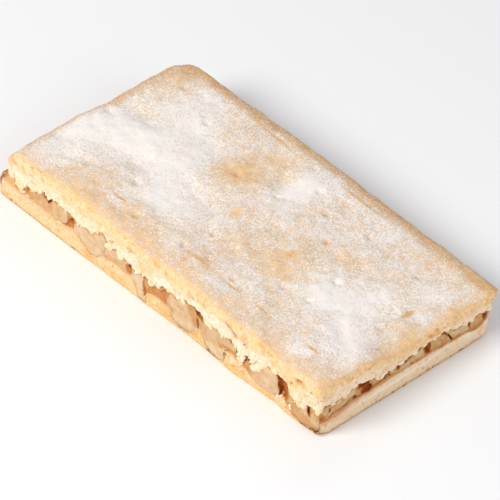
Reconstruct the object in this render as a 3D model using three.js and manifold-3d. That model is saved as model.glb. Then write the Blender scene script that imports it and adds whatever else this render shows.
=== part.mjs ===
// An apple square: a bar cut from the corner of a tray bake. A thick pale crust lies under a layer of
// cooked apple dice, and a second, softer crust lies on top. Units are millimetres, +Z is up, and the bar
// stands on z = 0 with its length along X.
//
// Two sides are knife cuts, where the filling shows: the near long side (-Y) and the right end (+X).
// The other two are the baked outer edges of the tray bake, where the bottom crust turns up as a rim:
// the left end (-X) and the far long side (+Y).

import * as THREE from "three";
import { mergeVertices } from "three/addons/utils/BufferGeometryUtils.js";
import Module from "manifold-3d";

// ---- Driving dimensions -------------------------------------------------------------------------------

const BAR_LENGTH = 146;
const BAR_WIDTH = 72;
const TOP_SHORT_AT_LEFT = 5; // the top crust ends this far short of the bottom one
const BOTTOM_SHORT_AT_FAR = 2.4; // and overhangs it by this much along the far side

const TOP_BOX = {
  left: -BAR_LENGTH / 2 + TOP_SHORT_AT_LEFT,
  right: BAR_LENGTH / 2,
  near: -BAR_WIDTH / 2,
  far: BAR_WIDTH / 2,
};
const BOTTOM_BOX = {
  left: -BAR_LENGTH / 2,
  right: BAR_LENGTH / 2,
  near: -BAR_WIDTH / 2,
  far: BAR_WIDTH / 2 - BOTTOM_SHORT_AT_FAR,
};

// Radius of each corner seen from above. The far left one is the corner of the baking tray.
const CORNER = { trayCorner: 8, leftNear: 1.5, rightNear: 2, rightFar: 4 };

// Heights of the three surfaces over the base, at five stations along the bar from left to right.
const TOP_SURFACE = {
  near: [19.4, 20.6, 20.2, 19.3, 18.2],
  middle: [19.6, 19.6, 18.8, 17.6, 15.2],
  far: [19.3, 18.9, 18.3, 16.6, 15.4],
};
const TOP_UNDERSIDE = {
  near: [12.3, 13.9, 13.1, 12.8, 10.8],
  middle: [12.0, 13.0, 12.6, 12.0, 10.9],
  far: [11.6, 12.0, 11.6, 11.0, 10.5],
};
const BOTTOM_SURFACE = {
  near: [7.4, 7.2, 5.4, 5.7, 5.4],
  middle: [6.8, 6.6, 6.4, 6.6, 7.1],
  far: [6.4, 6.2, 6.0, 5.8, 5.6],
};

// Swells and hollows of the upper surface: centre, radius and height of each.
const HUMPS = [
  { x: -38, y: -29, radius: 14, height: 0.9 },
  { x: -3, y: -34, radius: 7, height: -1.1 },
  { x: 10, y: -31, radius: 8, height: 0.8 },
  { x: 55, y: -35, radius: 6, height: -1.2 },
  { x: 65, y: -20, radius: 10, height: 1.0 },
  { x: 71, y: -3, radius: 9, height: -0.7 },
  { x: -67, y: 8, radius: 11, height: -1.0 },
  { x: -49, y: -4, radius: 12, height: 0.7 },
  { x: -23, y: 14, radius: 12, height: 0.6 },
  { x: -9, y: -8, radius: 13, height: -0.7 },
  { x: 31, y: 2, radius: 15, height: 0.7 },
];

// How the upper surface rounds over into each side: how far in it starts and how far it drops.
const CUT_EDGE = { width: 2.4, drop: 2.2 };
const BAKED_EDGE = { width: 6.5, drop: 2.8 };

// The rim of the bottom crust along the two baked sides.
const RIM_WIDTH = 5.2; // from the outside to the foot on the inside
const RIM_TOP_INSET = 1.9; // from the outside to the crest
const RIM_HEIGHT = { leftNear: 8.0, leftFar: 9.0, farRight: 8.8 };
// Between the rim and the top crust: the gap, how far along the left side it closes, and how far in from
// the top crust's side its underside leaves the rim.
const SEAM_GAP = { leftNear: 3.6, closed: 0.35, closedFrom: 44 };
const SEAM_INSET = { from: 3, to: 9 };
const TOP_UNDERCUT = 2.2; // the top crust's baked sides draw in by this much at their foot

// Holes pricked in the top crust before baking.
const PRICK = { radius: 1.1, depth: 2.4, sides: 6, above: 0.4 };
const PRICK_HOLES = [
  [-57, 26], [-62, 0], [-50, -29], [-31, -15], [-21, -24], [-13, 9], [1, 13], [8, 23], [16, 19],
  [-1, -23], [0, -13], [10, -13], [20, -22], [26, 10], [31, -12], [34, 20], [52, -2], [55, 19],
  [63, -3], [-37, 18],
];

// Apple dice that show at the two cut sides: middle along the side, width, lower face, upper face, and how
// far the face stands back from the cut. The gaps between them are the dark hollows of the filling.
const NEAR_DICE = [
  { along: -64.5, width: 6.5, low: 6.9, high: 12.2, back: 0.5 },
  { along: -56.0, width: 7.0, low: 6.4, high: 10.6, back: 1.5 },
  { along: -43.0, width: 7.5, low: 6.6, high: 13.0, back: 0.3 },
  { along: -32.5, width: 4.5, low: 6.6, high: 12.2, back: 0.9 },
  { along: -25.5, width: 9.0, low: 6.2, high: 13.4, back: 0.0 },
  { along: -14.5, width: 8.5, low: 5.6, high: 11.4, back: 0.2 },
  { along: -4.0, width: 6.0, low: 4.9, high: 12.4, back: 0.0 },
  { along: 4.8, width: 9.5, low: 5.0, high: 12.0, back: 3.0 },
  { along: 14.0, width: 10.0, low: 5.0, high: 11.4, back: 0.0 },
  { along: 27.0, width: 9.5, low: 5.2, high: 12.8, back: 0.0 },
  { along: 37.5, width: 8.5, low: 5.4, high: 10.2, back: 0.3 },
  { along: 50.0, width: 10.0, low: 5.2, high: 12.0, back: 0.0 },
  { along: 63.5, width: 8.0, low: 5.2, high: 9.4, back: 0.4 },
];
const RIGHT_DICE = [
  { along: -31.5, width: 7.5, low: 5.0, high: 9.6, back: 0.8 },
  { along: -24.5, width: 5.0, low: 6.6, high: 12.0, back: 0.6 },
  { along: -16.0, width: 4.5, low: 6.8, high: 11.0, back: 1.0 },
  { along: -7.0, width: 9.5, low: 6.6, high: 10.8, back: 0.6 },
  { along: 2.2, width: 6.5, low: 6.4, high: 11.0, back: 0.3 },
  { along: 11.0, width: 6.5, low: 6.0, high: 9.6, back: 0.8 },
  { along: 18.8, width: 8.0, low: 5.6, high: 11.0, back: 0.3 },
  { along: 26.5, width: 5.5, low: 5.4, high: 10.6, back: 1.0 },
];

const DIE_DEPTH = 8; // of a die into the bar
const DIE_SLUMP = { width: 0.16, depth: 0.08, height: 0.08 }; // its corners move by these shares of its size
const CORE_BACK = 6.5; // the solid middle of the filling stands this far back from the cuts
const CORE_HEIGHT = 20; // before the crusts trim it
const TOUCHING_GAP = 0.35; // left free between two pieces that lie on each other

// The space that the filling takes up, measured in from the top crust's sides: at its edge, and where it
// reaches its full height.
const FILLING_EDGE = { near: 0, right: 0, left: 1.6, far: 9.2 };
const FILLING_FULL = { near: 3, right: 3, left: 9, far: 13 };

// Crumb of the cut sides: how far it is broken out, and how far the ragged lower edge hangs down.
const TOP_CRUMB_RELIEF = 0.5;
const BOTTOM_CRUMB_RELIEF = 0.2;
const RAGGED_DROP = 1.3;
const SEED = 2718;

// The rings that each crust is made of, from the upper surface out, down the side and in under the base:
// how far each stands in from the cut sides and from the baked sides.
const TOP_RINGS = {
  flat: insets(CUT_EDGE.width, BAKED_EDGE.width),
  shoulder: insets(CUT_EDGE.width * 0.3, BAKED_EDGE.width * 0.3),
  brow: insets(0, 0),
  middle: insets(0, 0.9),
  foot: insets(0.2, TOP_UNDERCUT),
  under: insets(2.4, TOP_UNDERCUT + 1.6),
  inner: insets(7, 9),
};
const BOTTOM_RINGS = {
  bed: insets(2, RIM_WIDTH),
  bank: insets(0.9, RIM_TOP_INSET + 1.2),
  crest: insets(0.1, RIM_TOP_INSET),
  outside: insets(0, 0.4),
  footing: insets(0.05, 0),
  base: insets(0.4, 2.4),
  baseInner: insets(10, 10),
};
const CUT_SHOULDER = 0.5; // the bottom crust's upper edge breaks off this far below its surface at a cut
const RIM_BELLY = 2; // the rim is widest this far below its crest
const WAIST_SHARE = 0.55; // height of the middle ring of the bottom crust's cut side
const BASE_ROUNDING = 1.3;

// Cells of the surfaces. A side ring has two vertices for each cell along the edge of the upper surface.
const FINE_CELLS = { x: 44, y: 22 };
const COARSE_CELLS = { x: 22, y: 11 };
const SIDE_CELLS = { x: 2 * FINE_CELLS.x, y: 2 * FINE_CELLS.y };

const FINISH = {
  topCrust: { color: 0xf0d9b4, roughness: 0.92 },
  appleFilling: { color: 0xd9a766, roughness: 0.45 },
  bottomCrust: { color: 0xe6bd86, roughness: 0.88 },
};

// ---- Small helpers ------------------------------------------------------------------------------------

const { clamp, lerp, smoothstep } = THREE.MathUtils;

let draws = SEED;
function random(low, high) {
  draws += 1;
  return lerp(low, high, THREE.MathUtils.seededRandom(draws));
}

// The value at a share from 0 to 1 of the way through a row of evenly spaced stations, on a smooth curve.
function stationValue(values, share) {
  const place = clamp(share, 0, 1) * (values.length - 1);
  const index = Math.min(Math.floor(place), values.length - 2);
  const t = place - index;
  const before = values[Math.max(index - 1, 0)];
  const from = values[index];
  const to = values[index + 1];
  const after = values[Math.min(index + 2, values.length - 1)];
  const slopeFrom = (to - before) / 2;
  const slopeTo = (after - from) / 2;
  const t2 = t * t;
  const t3 = t2 * t;
  return (2 * t3 - 3 * t2 + 1) * from + (t3 - 2 * t2 + t) * slopeFrom
    + (3 * t2 - 2 * t3) * to + (t3 - t2) * slopeTo;
}

function surfaceHeight(rows, x, y) {
  const along = (x + BAR_LENGTH / 2) / BAR_LENGTH;
  const across = (y + BAR_WIDTH / 2) / BAR_WIDTH;
  return stationValue([rows.near, rows.middle, rows.far].map((row) => stationValue(row, along)), across);
}

// A surface that rounds over like a quarter of an ellipse: its drop at a distance in from the side.
function edgeDrop(edge, distance) {
  const out = clamp(1 - distance / edge.width, 0, 1);
  return edge.drop * (1 - Math.sqrt(1 - out * out));
}

// ---- Surfaces of the two crusts -----------------------------------------------------------------------

// How far a point is in from the baked sides of a box, which meet in the round tray corner.
function bakedDistance(box, x, y) {
  const fromLeft = x - box.left;
  const fromFar = box.far - y;
  const radius = CORNER.trayCorner;
  if (fromLeft > radius || fromFar > radius) return Math.min(fromLeft, fromFar);
  return radius - Math.hypot(radius - fromLeft, radius - fromFar);
}

function upperHeight(x, y) {
  let height = surfaceHeight(TOP_SURFACE, x, y);
  for (const hump of HUMPS) {
    const away = Math.hypot(x - hump.x, y - hump.y) / hump.radius;
    height += hump.height * Math.exp(-away * away);
  }
  height -= edgeDrop(CUT_EDGE, y - TOP_BOX.near) + edgeDrop(CUT_EDGE, TOP_BOX.right - x);
  return height - edgeDrop(BAKED_EDGE, bakedDistance(TOP_BOX, x, y));
}

// The crest of the rim, which rises from the near left corner round to the right end of the far side.
function rimHeight(x, y) {
  const alongLeft = (y - BOTTOM_BOX.near) / (BOTTOM_BOX.far - BOTTOM_BOX.near);
  const alongFar = (x - BOTTOM_BOX.left) / BAR_LENGTH;
  const left = lerp(RIM_HEIGHT.leftNear, RIM_HEIGHT.leftFar, clamp(alongLeft, 0, 1));
  return left + (RIM_HEIGHT.farRight - RIM_HEIGHT.leftFar) * clamp(alongFar, 0, 1);
}

function rimShare(x, y) {
  return 1 - smoothstep(bakedDistance(BOTTOM_BOX, x, y), RIM_TOP_INSET, RIM_WIDTH);
}

function bottomUpperHeight(x, y) {
  return lerp(surfaceHeight(BOTTOM_SURFACE, x, y), rimHeight(x, y), rimShare(x, y));
}

// The gap between rim and top crust, widest at the near left corner and closed farther along the left.
function seamGap(y) {
  const open = 1 - smoothstep(y - TOP_BOX.near, 0, SEAM_GAP.closedFrom);
  return lerp(SEAM_GAP.closed, SEAM_GAP.leftNear, open);
}

// The underside of the top crust, which comes down onto the rim along the baked sides.
function undersideHeight(x, y) {
  const onRim = 1 - smoothstep(bakedDistance(TOP_BOX, x, y), SEAM_INSET.from, SEAM_INSET.to);
  return lerp(surfaceHeight(TOP_UNDERSIDE, x, y), rimHeight(x, y) + seamGap(y), onRim);
}

// ---- Closed meshes from rings and grids ---------------------------------------------------------------

function cornerRadius(u, v) {
  if (u < 0) return v < 0 ? CORNER.leftNear : CORNER.trayCorner;
  return v < 0 ? CORNER.rightNear : CORNER.rightFar;
}

// The point at u, v (each from -1 to 1) of a rounded rectangle that stands in from each side of a box.
function placeInOutline(box, inset, u, v) {
  const left = box.left + inset.left;
  const right = box.right - inset.right;
  const near = box.near + inset.near;
  const far = box.far - inset.far;
  const halfX = (right - left) / 2;
  const halfY = (far - near) / 2;
  const radius = cornerRadius(u, v);
  let x = Math.abs(u) * halfX;
  let y = Math.abs(v) * halfY;
  const pastX = x - (halfX - radius);
  const pastY = y - (halfY - radius);
  if (pastX > 0 && pastY > 0) {
    const shrink = Math.max(pastX, pastY) / Math.hypot(pastX, pastY);
    x = halfX - radius + pastX * shrink;
    y = halfY - radius + pastY * shrink;
  }
  return [(left + right) / 2 + Math.sign(u) * x, (near + far) / 2 + Math.sign(v) * y];
}

// u, v of the places round the edge of a grid, counterclockwise seen from above, from the near left corner.
function edgePlaces(cells) {
  const places = [];
  for (let i = 0; i < cells.x; i += 1) places.push([-1 + (2 * i) / cells.x, -1]);
  for (let j = 0; j < cells.y; j += 1) places.push([1, -1 + (2 * j) / cells.y]);
  for (let i = 0; i < cells.x; i += 1) places.push([1 - (2 * i) / cells.x, 1]);
  for (let j = 0; j < cells.y; j += 1) places.push([-1, 1 - (2 * j) / cells.y]);
  return places;
}

function placeName(u, v) {
  return `${u.toFixed(4)},${v.toFixed(4)}`;
}

function insets(cut, baked) {
  return { near: cut, right: cut, left: baked, far: baked };
}

class SolidBuilder {
  constructor(box) {
    this.box = box;
    this.positions = [];
    this.indices = [];
  }

  vertex(x, y, z) {
    this.positions.push(x, y, z);
    return this.positions.length / 3 - 1;
  }

  // A ring of vertices at one inset. heightAt gives z, and at the cuts each vertex is broken out by up to
  // the relief.
  ring(cells, inset, heightAt, relief = 0) {
    return edgePlaces(cells).map(([u, v]) => {
      const broken = random(0, relief);
      const near = inset.near + (v === -1 ? broken : 0);
      const right = inset.right + (u === 1 ? broken : 0);
      const [x, y] = placeInOutline(this.box, { ...inset, near, right }, u, v);
      return this.vertex(x, y, heightAt(x, y, u, v));
    });
  }

  // Joins two rings, the first above or inside the second, one of them with as many or twice as many
  // vertices as the other.
  join(upper, lower) {
    const steps = Math.min(upper.length, lower.length);
    const upperStep = upper.length / steps;
    const lowerStep = lower.length / steps;
    for (let i = 0; i < steps; i += 1) {
      const top = Array.from({ length: upperStep + 1 }, (_, k) => upper[(i * upperStep + k) % upper.length]);
      const foot = Array.from({ length: lowerStep + 1 }, (_, k) => lower[(i * lowerStep + k) % lower.length]);
      this.strip(top, foot);
    }
  }

  joinAll(rings) {
    for (let k = 0; k + 1 < rings.length; k += 1) this.join(rings[k], rings[k + 1]);
  }

  // The faces between one step of the upper ring and the same step of the lower one.
  strip(top, foot) {
    if (top.length === 3) {
      this.indices.push(top[0], foot[0], top[1]);
      this.indices.push(top[1], foot[0], foot[1]);
      this.indices.push(top[1], foot[1], top[2]);
      return;
    }
    this.indices.push(top[0], foot[0], foot[1]);
    this.indices.push(top[0], foot[1], top[1]);
    if (foot.length === 3) this.indices.push(top[1], foot[1], foot[2]);
  }

  // Fills a ring with a grid of cells, facing up or down. heightAt gives z inside the ring.
  fill(cells, edgeRing, inset, heightAt, facingUp) {
    const grid = this.gridInsideRing(cells, edgeRing, inset, heightAt);
    for (let i = 0; i < cells.x; i += 1) {
      for (let j = 0; j < cells.y; j += 1) {
        const corners = [grid[i][j], grid[i + 1][j], grid[i + 1][j + 1], grid[i][j + 1]];
        const [a, b, c, d] = facingUp ? corners : corners.reverse();
        this.indices.push(a, b, c, a, c, d);
      }
    }
  }

  gridInsideRing(cells, edgeRing, inset, heightAt) {
    const onEdge = new Map(edgePlaces(cells).map(([u, v], k) => [placeName(u, v), edgeRing[k]]));
    const columns = [];
    for (let i = 0; i <= cells.x; i += 1) {
      const column = [];
      for (let j = 0; j <= cells.y; j += 1) {
        const u = -1 + (2 * i) / cells.x;
        const v = -1 + (2 * j) / cells.y;
        const known = onEdge.get(placeName(u, v));
        const [x, y] = placeInOutline(this.box, inset, u, v);
        column.push(known ?? this.vertex(x, y, heightAt(x, y)));
      }
      columns.push(column);
    }
    return columns;
  }

  geometry() {
    const geometry = new THREE.BufferGeometry();
    geometry.setAttribute("position", new THREE.Float32BufferAttribute(this.positions, 3));
    geometry.setIndex(this.indices);
    return geometry;
  }
}

// ---- Cutting and joining ------------------------------------------------------------------------------

const manifoldLibrary = await Module();
manifoldLibrary.setup();

function toSolid(geometry) {
  const bare = new THREE.BufferGeometry();
  bare.setAttribute("position", geometry.getAttribute("position"));
  if (geometry.index) bare.setIndex(geometry.index);
  const merged = mergeVertices(bare, 1e-4);
  return new manifoldLibrary.Manifold(new manifoldLibrary.Mesh({
    numProp: 3,
    vertProperties: new Float32Array(merged.getAttribute("position").array),
    triVerts: new Uint32Array(merged.index.array),
  }));
}

function toGeometry(solid) {
  const mesh = solid.getMesh();
  const geometry = new THREE.BufferGeometry();
  geometry.setAttribute("position", new THREE.BufferAttribute(new Float32Array(mesh.vertProperties), 3));
  geometry.setIndex(new THREE.BufferAttribute(new Uint32Array(mesh.triVerts), 1));
  return geometry;
}

function largestBody(solid) {
  return solid.decompose().reduce((best, body) => (body.volume() > best.volume() ? body : best));
}

// ---- The pieces ---------------------------------------------------------------------------------------

function makeTopCrust() {
  const crust = new SolidBuilder(TOP_BOX);
  const rings = TOP_RINGS;
  const halfway = (x, y) => lerp(upperHeight(x, y), undersideHeight(x, y), 0.5);
  const raggedFoot = (x, y, u, v) => undersideHeight(x, y) - raggedDrop(u, v);

  const flat = crust.ring(FINE_CELLS, rings.flat, upperHeight);
  const shoulder = crust.ring(SIDE_CELLS, rings.shoulder, upperHeight);
  const brow = crust.ring(SIDE_CELLS, rings.brow, upperHeight);
  const middle = crust.ring(SIDE_CELLS, rings.middle, halfway, TOP_CRUMB_RELIEF);
  const foot = crust.ring(SIDE_CELLS, rings.foot, raggedFoot, TOP_CRUMB_RELIEF);
  const under = crust.ring(FINE_CELLS, rings.under, undersideHeight);
  const inner = crust.ring(COARSE_CELLS, rings.inner, undersideHeight);

  crust.fill(FINE_CELLS, flat, rings.flat, upperHeight, true);
  crust.joinAll([flat, shoulder, brow, middle, foot, under, inner]);
  crust.fill(COARSE_CELLS, inner, rings.inner, undersideHeight, false);
  return toGeometry(pricked(toSolid(crust.geometry())));
}

// Crumbs hang below the crust at the cut sides only.
function raggedDrop(u, v) {
  const isCut = v === -1 || u === 1;
  return isCut ? random(0, RAGGED_DROP) : 0;
}

function pricked(solid) {
  return PRICK_HOLES.reduce((left, [x, y]) => {
    const hole = new THREE.ConeGeometry(PRICK.radius, PRICK.depth, PRICK.sides);
    hole.rotateX(-Math.PI / 2);
    hole.translate(x, y, upperHeight(x, y) + PRICK.above - PRICK.depth / 2);
    return left.subtract(toSolid(hole));
  }, solid);
}

function makeBottomCrust() {
  const crust = new SolidBuilder(BOTTOM_BOX);
  const rings = BOTTOM_RINGS;
  const onRim = (x, y) => rimShare(x, y) > 0.5;
  const crestHeight = (x, y) => (onRim(x, y) ? rimHeight(x, y) : bottomUpperHeight(x, y) - CUT_SHOULDER);
  const outsideHeight = (x, y) => (
    onRim(x, y) ? rimHeight(x, y) - RIM_BELLY : bottomUpperHeight(x, y) * WAIST_SHARE
  );
  const footingHeight = () => BASE_ROUNDING;
  const baseHeight = () => 0;

  const bed = crust.ring(COARSE_CELLS, rings.bed, bottomUpperHeight);
  const bank = crust.ring(FINE_CELLS, rings.bank, bottomUpperHeight);
  const crest = crust.ring(SIDE_CELLS, rings.crest, crestHeight, BOTTOM_CRUMB_RELIEF);
  const outside = crust.ring(SIDE_CELLS, rings.outside, outsideHeight, BOTTOM_CRUMB_RELIEF);
  const footing = crust.ring(SIDE_CELLS, rings.footing, footingHeight, BOTTOM_CRUMB_RELIEF);
  const base = crust.ring(FINE_CELLS, rings.base, baseHeight);
  const baseInner = crust.ring(COARSE_CELLS, rings.baseInner, baseHeight);

  crust.fill(COARSE_CELLS, bed, rings.bed, bottomUpperHeight, true);
  crust.joinAll([bed, bank, crest, outside, footing, base, baseInner]);
  crust.fill(COARSE_CELLS, baseInner, rings.baseInner, baseHeight, false);
  return crust.geometry();
}

// The space between the crusts, out to the cuts and in to the foot of the rim. At the cuts its lid is low
// enough to clear the crumbs that hang down.
function fillingSpace() {
  const space = new SolidBuilder(TOP_BOX);
  const lid = (x, y) => undersideHeight(x, y) - TOUCHING_GAP;
  const lidAtCut = (x, y) => lid(x, y) - RAGGED_DROP;
  const bed = (x, y) => bottomUpperHeight(x, y) + TOUCHING_GAP;

  const lidFull = space.ring(COARSE_CELLS, FILLING_FULL, lid);
  const lidEdge = space.ring(COARSE_CELLS, FILLING_EDGE, lidAtCut);
  const bedEdge = space.ring(COARSE_CELLS, FILLING_EDGE, bed);
  const bedFull = space.ring(COARSE_CELLS, FILLING_FULL, bed);

  space.fill(COARSE_CELLS, lidFull, FILLING_FULL, lid, true);
  space.joinAll([lidFull, lidEdge, bedEdge, bedFull]);
  space.fill(COARSE_CELLS, bedFull, FILLING_FULL, bed, false);
  return toSolid(space.geometry());
}

// A cooked die: a block whose corners have slumped, each axis by its own share.
function appleDie(width, depth, height, slump) {
  const geometry = new THREE.BoxGeometry(width, depth, height);
  const corners = mergeVertices(new THREE.BufferGeometry()
    .setAttribute("position", geometry.getAttribute("position"))
    .setIndex(geometry.index));
  const position = corners.getAttribute("position");
  for (let i = 0; i < position.count; i += 1) {
    position.setXYZ(
      i,
      position.getX(i) + width * slump[0] * random(-1, 1),
      position.getY(i) + depth * slump[1] * random(-1, 1),
      position.getZ(i) + height * slump[2] * random(-1, 1),
    );
  }
  return corners;
}

function nearDie({ along, width, low, high, back }) {
  const slump = [DIE_SLUMP.width, DIE_SLUMP.depth, DIE_SLUMP.height];
  const die = appleDie(width, DIE_DEPTH, high - low, slump);
  die.translate(along, TOP_BOX.near + back + DIE_DEPTH / 2, (low + high) / 2);
  return toSolid(die);
}

function rightDie({ along, width, low, high, back }) {
  const slump = [DIE_SLUMP.depth, DIE_SLUMP.width, DIE_SLUMP.height];
  const die = appleDie(DIE_DEPTH, width, high - low, slump);
  die.translate(TOP_BOX.right - back - DIE_DEPTH / 2, along, (low + high) / 2);
  return toSolid(die);
}

// The solid middle and the dice in front of it, trimmed to the space between the crusts.
function makeFilling() {
  const core = new THREE.BoxGeometry(BAR_LENGTH - CORE_BACK, BAR_WIDTH - CORE_BACK, CORE_HEIGHT);
  core.translate(-CORE_BACK / 2, CORE_BACK / 2, CORE_HEIGHT / 2);
  const dice = [...NEAR_DICE.map(nearDie), ...RIGHT_DICE.map(rightDie)];
  const heap = dice.reduce((sum, die) => sum.add(die), toSolid(core));
  return toGeometry(largestBody(heap.intersect(fillingSpace())));
}

// ---- The bar ------------------------------------------------------------------------------------------

function piece(name, geometry, { color, roughness }) {
  const mesh = new THREE.Mesh(geometry, new THREE.MeshStandardMaterial({ color, roughness, metalness: 0 }));
  mesh.name = name;
  return mesh;
}

const appleSquare = new THREE.Group();
appleSquare.add(piece("bottom_crust", makeBottomCrust(), FINISH.bottomCrust));
appleSquare.add(piece("apple_filling", makeFilling(), FINISH.appleFilling));
appleSquare.add(piece("top_crust", makeTopCrust(), FINISH.topCrust));

export default appleSquare;
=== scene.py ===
# An apple square: a bar cut from the corner of a tray bake, dusted with icing sugar. Its near long side
# (-Y) and right end (+X) are knife cuts that show cooked apple between two crusts. Its left end and far
# side are the baked edge of the tray bake, with a turned-up rim. Shapes here are worked out in
# millimetres and turned into metres when a mesh is made.

import math

import bmesh
import bpy
import numpy as np
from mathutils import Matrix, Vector


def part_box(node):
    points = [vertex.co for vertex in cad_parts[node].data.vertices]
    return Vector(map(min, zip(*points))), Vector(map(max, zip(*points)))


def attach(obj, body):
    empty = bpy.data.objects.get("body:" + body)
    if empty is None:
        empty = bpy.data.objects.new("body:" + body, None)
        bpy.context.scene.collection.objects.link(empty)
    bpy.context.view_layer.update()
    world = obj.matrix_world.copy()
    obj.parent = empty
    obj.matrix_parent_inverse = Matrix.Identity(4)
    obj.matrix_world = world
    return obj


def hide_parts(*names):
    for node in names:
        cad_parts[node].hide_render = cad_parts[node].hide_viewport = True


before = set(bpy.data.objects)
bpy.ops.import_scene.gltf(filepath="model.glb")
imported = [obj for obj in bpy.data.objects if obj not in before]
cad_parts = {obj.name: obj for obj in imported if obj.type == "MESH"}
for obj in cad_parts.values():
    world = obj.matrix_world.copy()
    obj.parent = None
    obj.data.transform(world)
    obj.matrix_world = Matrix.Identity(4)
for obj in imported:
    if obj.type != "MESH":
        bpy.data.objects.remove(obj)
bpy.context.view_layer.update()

MM = 0.001
SEED = 2718


def box_of(node_name):
    """The sides of a CAD node seen from above, in millimetres."""
    low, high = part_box(node_name)
    return {"left": low.x / MM, "right": high.x / MM, "near": low.y / MM, "far": high.y / MM}


TOP_BOX = box_of("top_crust")
BOTTOM_BOX = box_of("bottom_crust")
BAR_LENGTH = BOTTOM_BOX["right"] - BOTTOM_BOX["left"]
BAR_WIDTH = TOP_BOX["far"] - TOP_BOX["near"]

# ---- Camera, light and floor ----------------------------------------------------------------------------

IMAGE_WIDTH_PX = 500
SENSOR_WIDTH = 36.0
CAMERA_AZIMUTH = math.radians(48.5)
CAMERA_ELEVATION = math.radians(41.0)
CAMERA_DISTANCE = 1000.0
CAMERA_REACH = 10000.0
PIXELS_PER_MM = 3.371  # at the point that the camera looks at
LOOK_AT = (3.0, 0.0, 9.0)
SHOWN_ABOVE_CENTRE_PX = 11.2  # how far above the picture's centre that point shows


def direction(azimuth, elevation):
    """The direction from the bar at an angle from its near side towards its right end, and an angle up."""
    return Vector((
        math.sin(azimuth) * math.cos(elevation),
        -math.cos(azimuth) * math.cos(elevation),
        math.sin(elevation),
    ))


def add_to_scene(name, data):
    added = bpy.data.objects.new(name, data)
    bpy.context.scene.collection.objects.link(added)
    return added


def make_camera():
    backwards = direction(CAMERA_AZIMUTH, CAMERA_ELEVATION)
    up = direction(CAMERA_AZIMUTH, CAMERA_ELEVATION + math.pi / 2)
    aim = Vector(LOOK_AT) - up * (SHOWN_ABOVE_CENTRE_PX / PIXELS_PER_MM)
    data = bpy.data.cameras.new("camera")
    data.sensor_width = SENSOR_WIDTH
    data.lens = SENSOR_WIDTH * PIXELS_PER_MM * CAMERA_DISTANCE / IMAGE_WIDTH_PX
    data.clip_end = CAMERA_REACH * MM
    camera = add_to_scene("camera", data)
    camera.location = (aim + backwards * CAMERA_DISTANCE) * MM
    camera.rotation_euler = backwards.to_track_quat("Z", "Y").to_euler()
    bpy.context.scene.camera = camera


# Softboxes round the bar: the direction that each shines from in degrees, its width and its watts.
SOFTBOX_DISTANCE = 900.0
SOFTBOXES = {
    "key": {"azimuth": -12, "elevation": 42, "width": 450.0, "watts": 6.1, "colour": "#fffaf2"},
    "rim": {"azimuth": 215, "elevation": 38, "width": 500.0, "watts": 0.9, "colour": "#fdfbfb"},
    "side": {"azimuth": 95, "elevation": 30, "width": 600.0, "watts": 1.95, "colour": "#fffdf8"},
}
SKY = {"colour": "#f6f4f4", "strength": 0.44}


def make_lights():
    for name, softbox in SOFTBOXES.items():
        shines_from = direction(math.radians(softbox["azimuth"]), math.radians(softbox["elevation"]))
        data = bpy.data.lights.new(name, "AREA")
        data.shape = "DISK"
        data.size = softbox["width"] * MM
        data.energy = softbox["watts"]
        data.color = linear(softbox["colour"])[:3]
        light = add_to_scene(name, data)
        light.location = shines_from * (SOFTBOX_DISTANCE * MM)
        light.rotation_euler = shines_from.to_track_quat("Z", "Y").to_euler()
    world = bpy.data.worlds.new("studio")
    world.use_nodes = True
    background = world.node_tree.nodes["Background"]
    background.inputs["Color"].default_value = linear(SKY["colour"])
    background.inputs["Strength"].default_value = SKY["strength"]
    bpy.context.scene.world = world
    bpy.context.scene.view_settings.view_transform = "Standard"


FLOOR_HALF_SIDE = 3000.0


def make_floor():
    side = FLOOR_HALF_SIDE
    corners = np.array([[-side, -side, 0], [side, -side, 0], [side, side, 0], [-side, side, 0]])
    floor = make_mesh("floor", corners, [[0, 1, 2, 3]], {}, card_white())


# ---- Noise ----------------------------------------------------------------------------------------------


# Large numbers that mix the bits of a place: one for each axis, then each with a shift.
AXIS_MIXERS = (374761393, 668265263, 2147483629)
SHIFTED_MIXERS = ((13, 1274126177), (15, 2246822519))


def lattice_value(cell, seed):
    """A fixed random number from 0 to 1 for each whole-numbered place."""
    mixed = np.uint32(seed * 97 + 1013)
    for axis, mixer in enumerate(AXIS_MIXERS):
        mixed = mixed + cell[..., axis].astype(np.uint32) * np.uint32(mixer)
    for shift, mixer in SHIFTED_MIXERS:
        mixed = (mixed ^ (mixed >> np.uint32(shift))) * np.uint32(mixer)
    return ((mixed ^ (mixed >> np.uint32(16))) & np.uint32(0xFFFFFF)) / float(0xFFFFFF)


CUBE_CORNERS = [np.array([i, j, k]) for i in (0, 1) for j in (0, 1) for k in (0, 1)]


def smooth_noise(points, size, seed):
    """Noise from -1 to 1 whose waves are about the given size, in millimetres."""
    place = points / size
    cell = np.floor(place).astype(np.int64)
    part = place - cell
    ease = part * part * (3 - 2 * part)
    total = np.zeros(len(points))
    for corner in CUBE_CORNERS:
        weight = np.prod(np.where(corner == 1, ease, 1 - ease), axis=1)
        total += weight * lattice_value(cell + corner, seed)
    return 2 * total - 1


def rough_noise(points, size, octaves, seed):
    """Noise with finer and fainter waves added, each half as large as the one before."""
    total = np.zeros(len(points))
    for octave in range(octaves):
        share = 0.5 ** octave
        total += share * smooth_noise(points, size * share, seed + octave)
    return total


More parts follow.
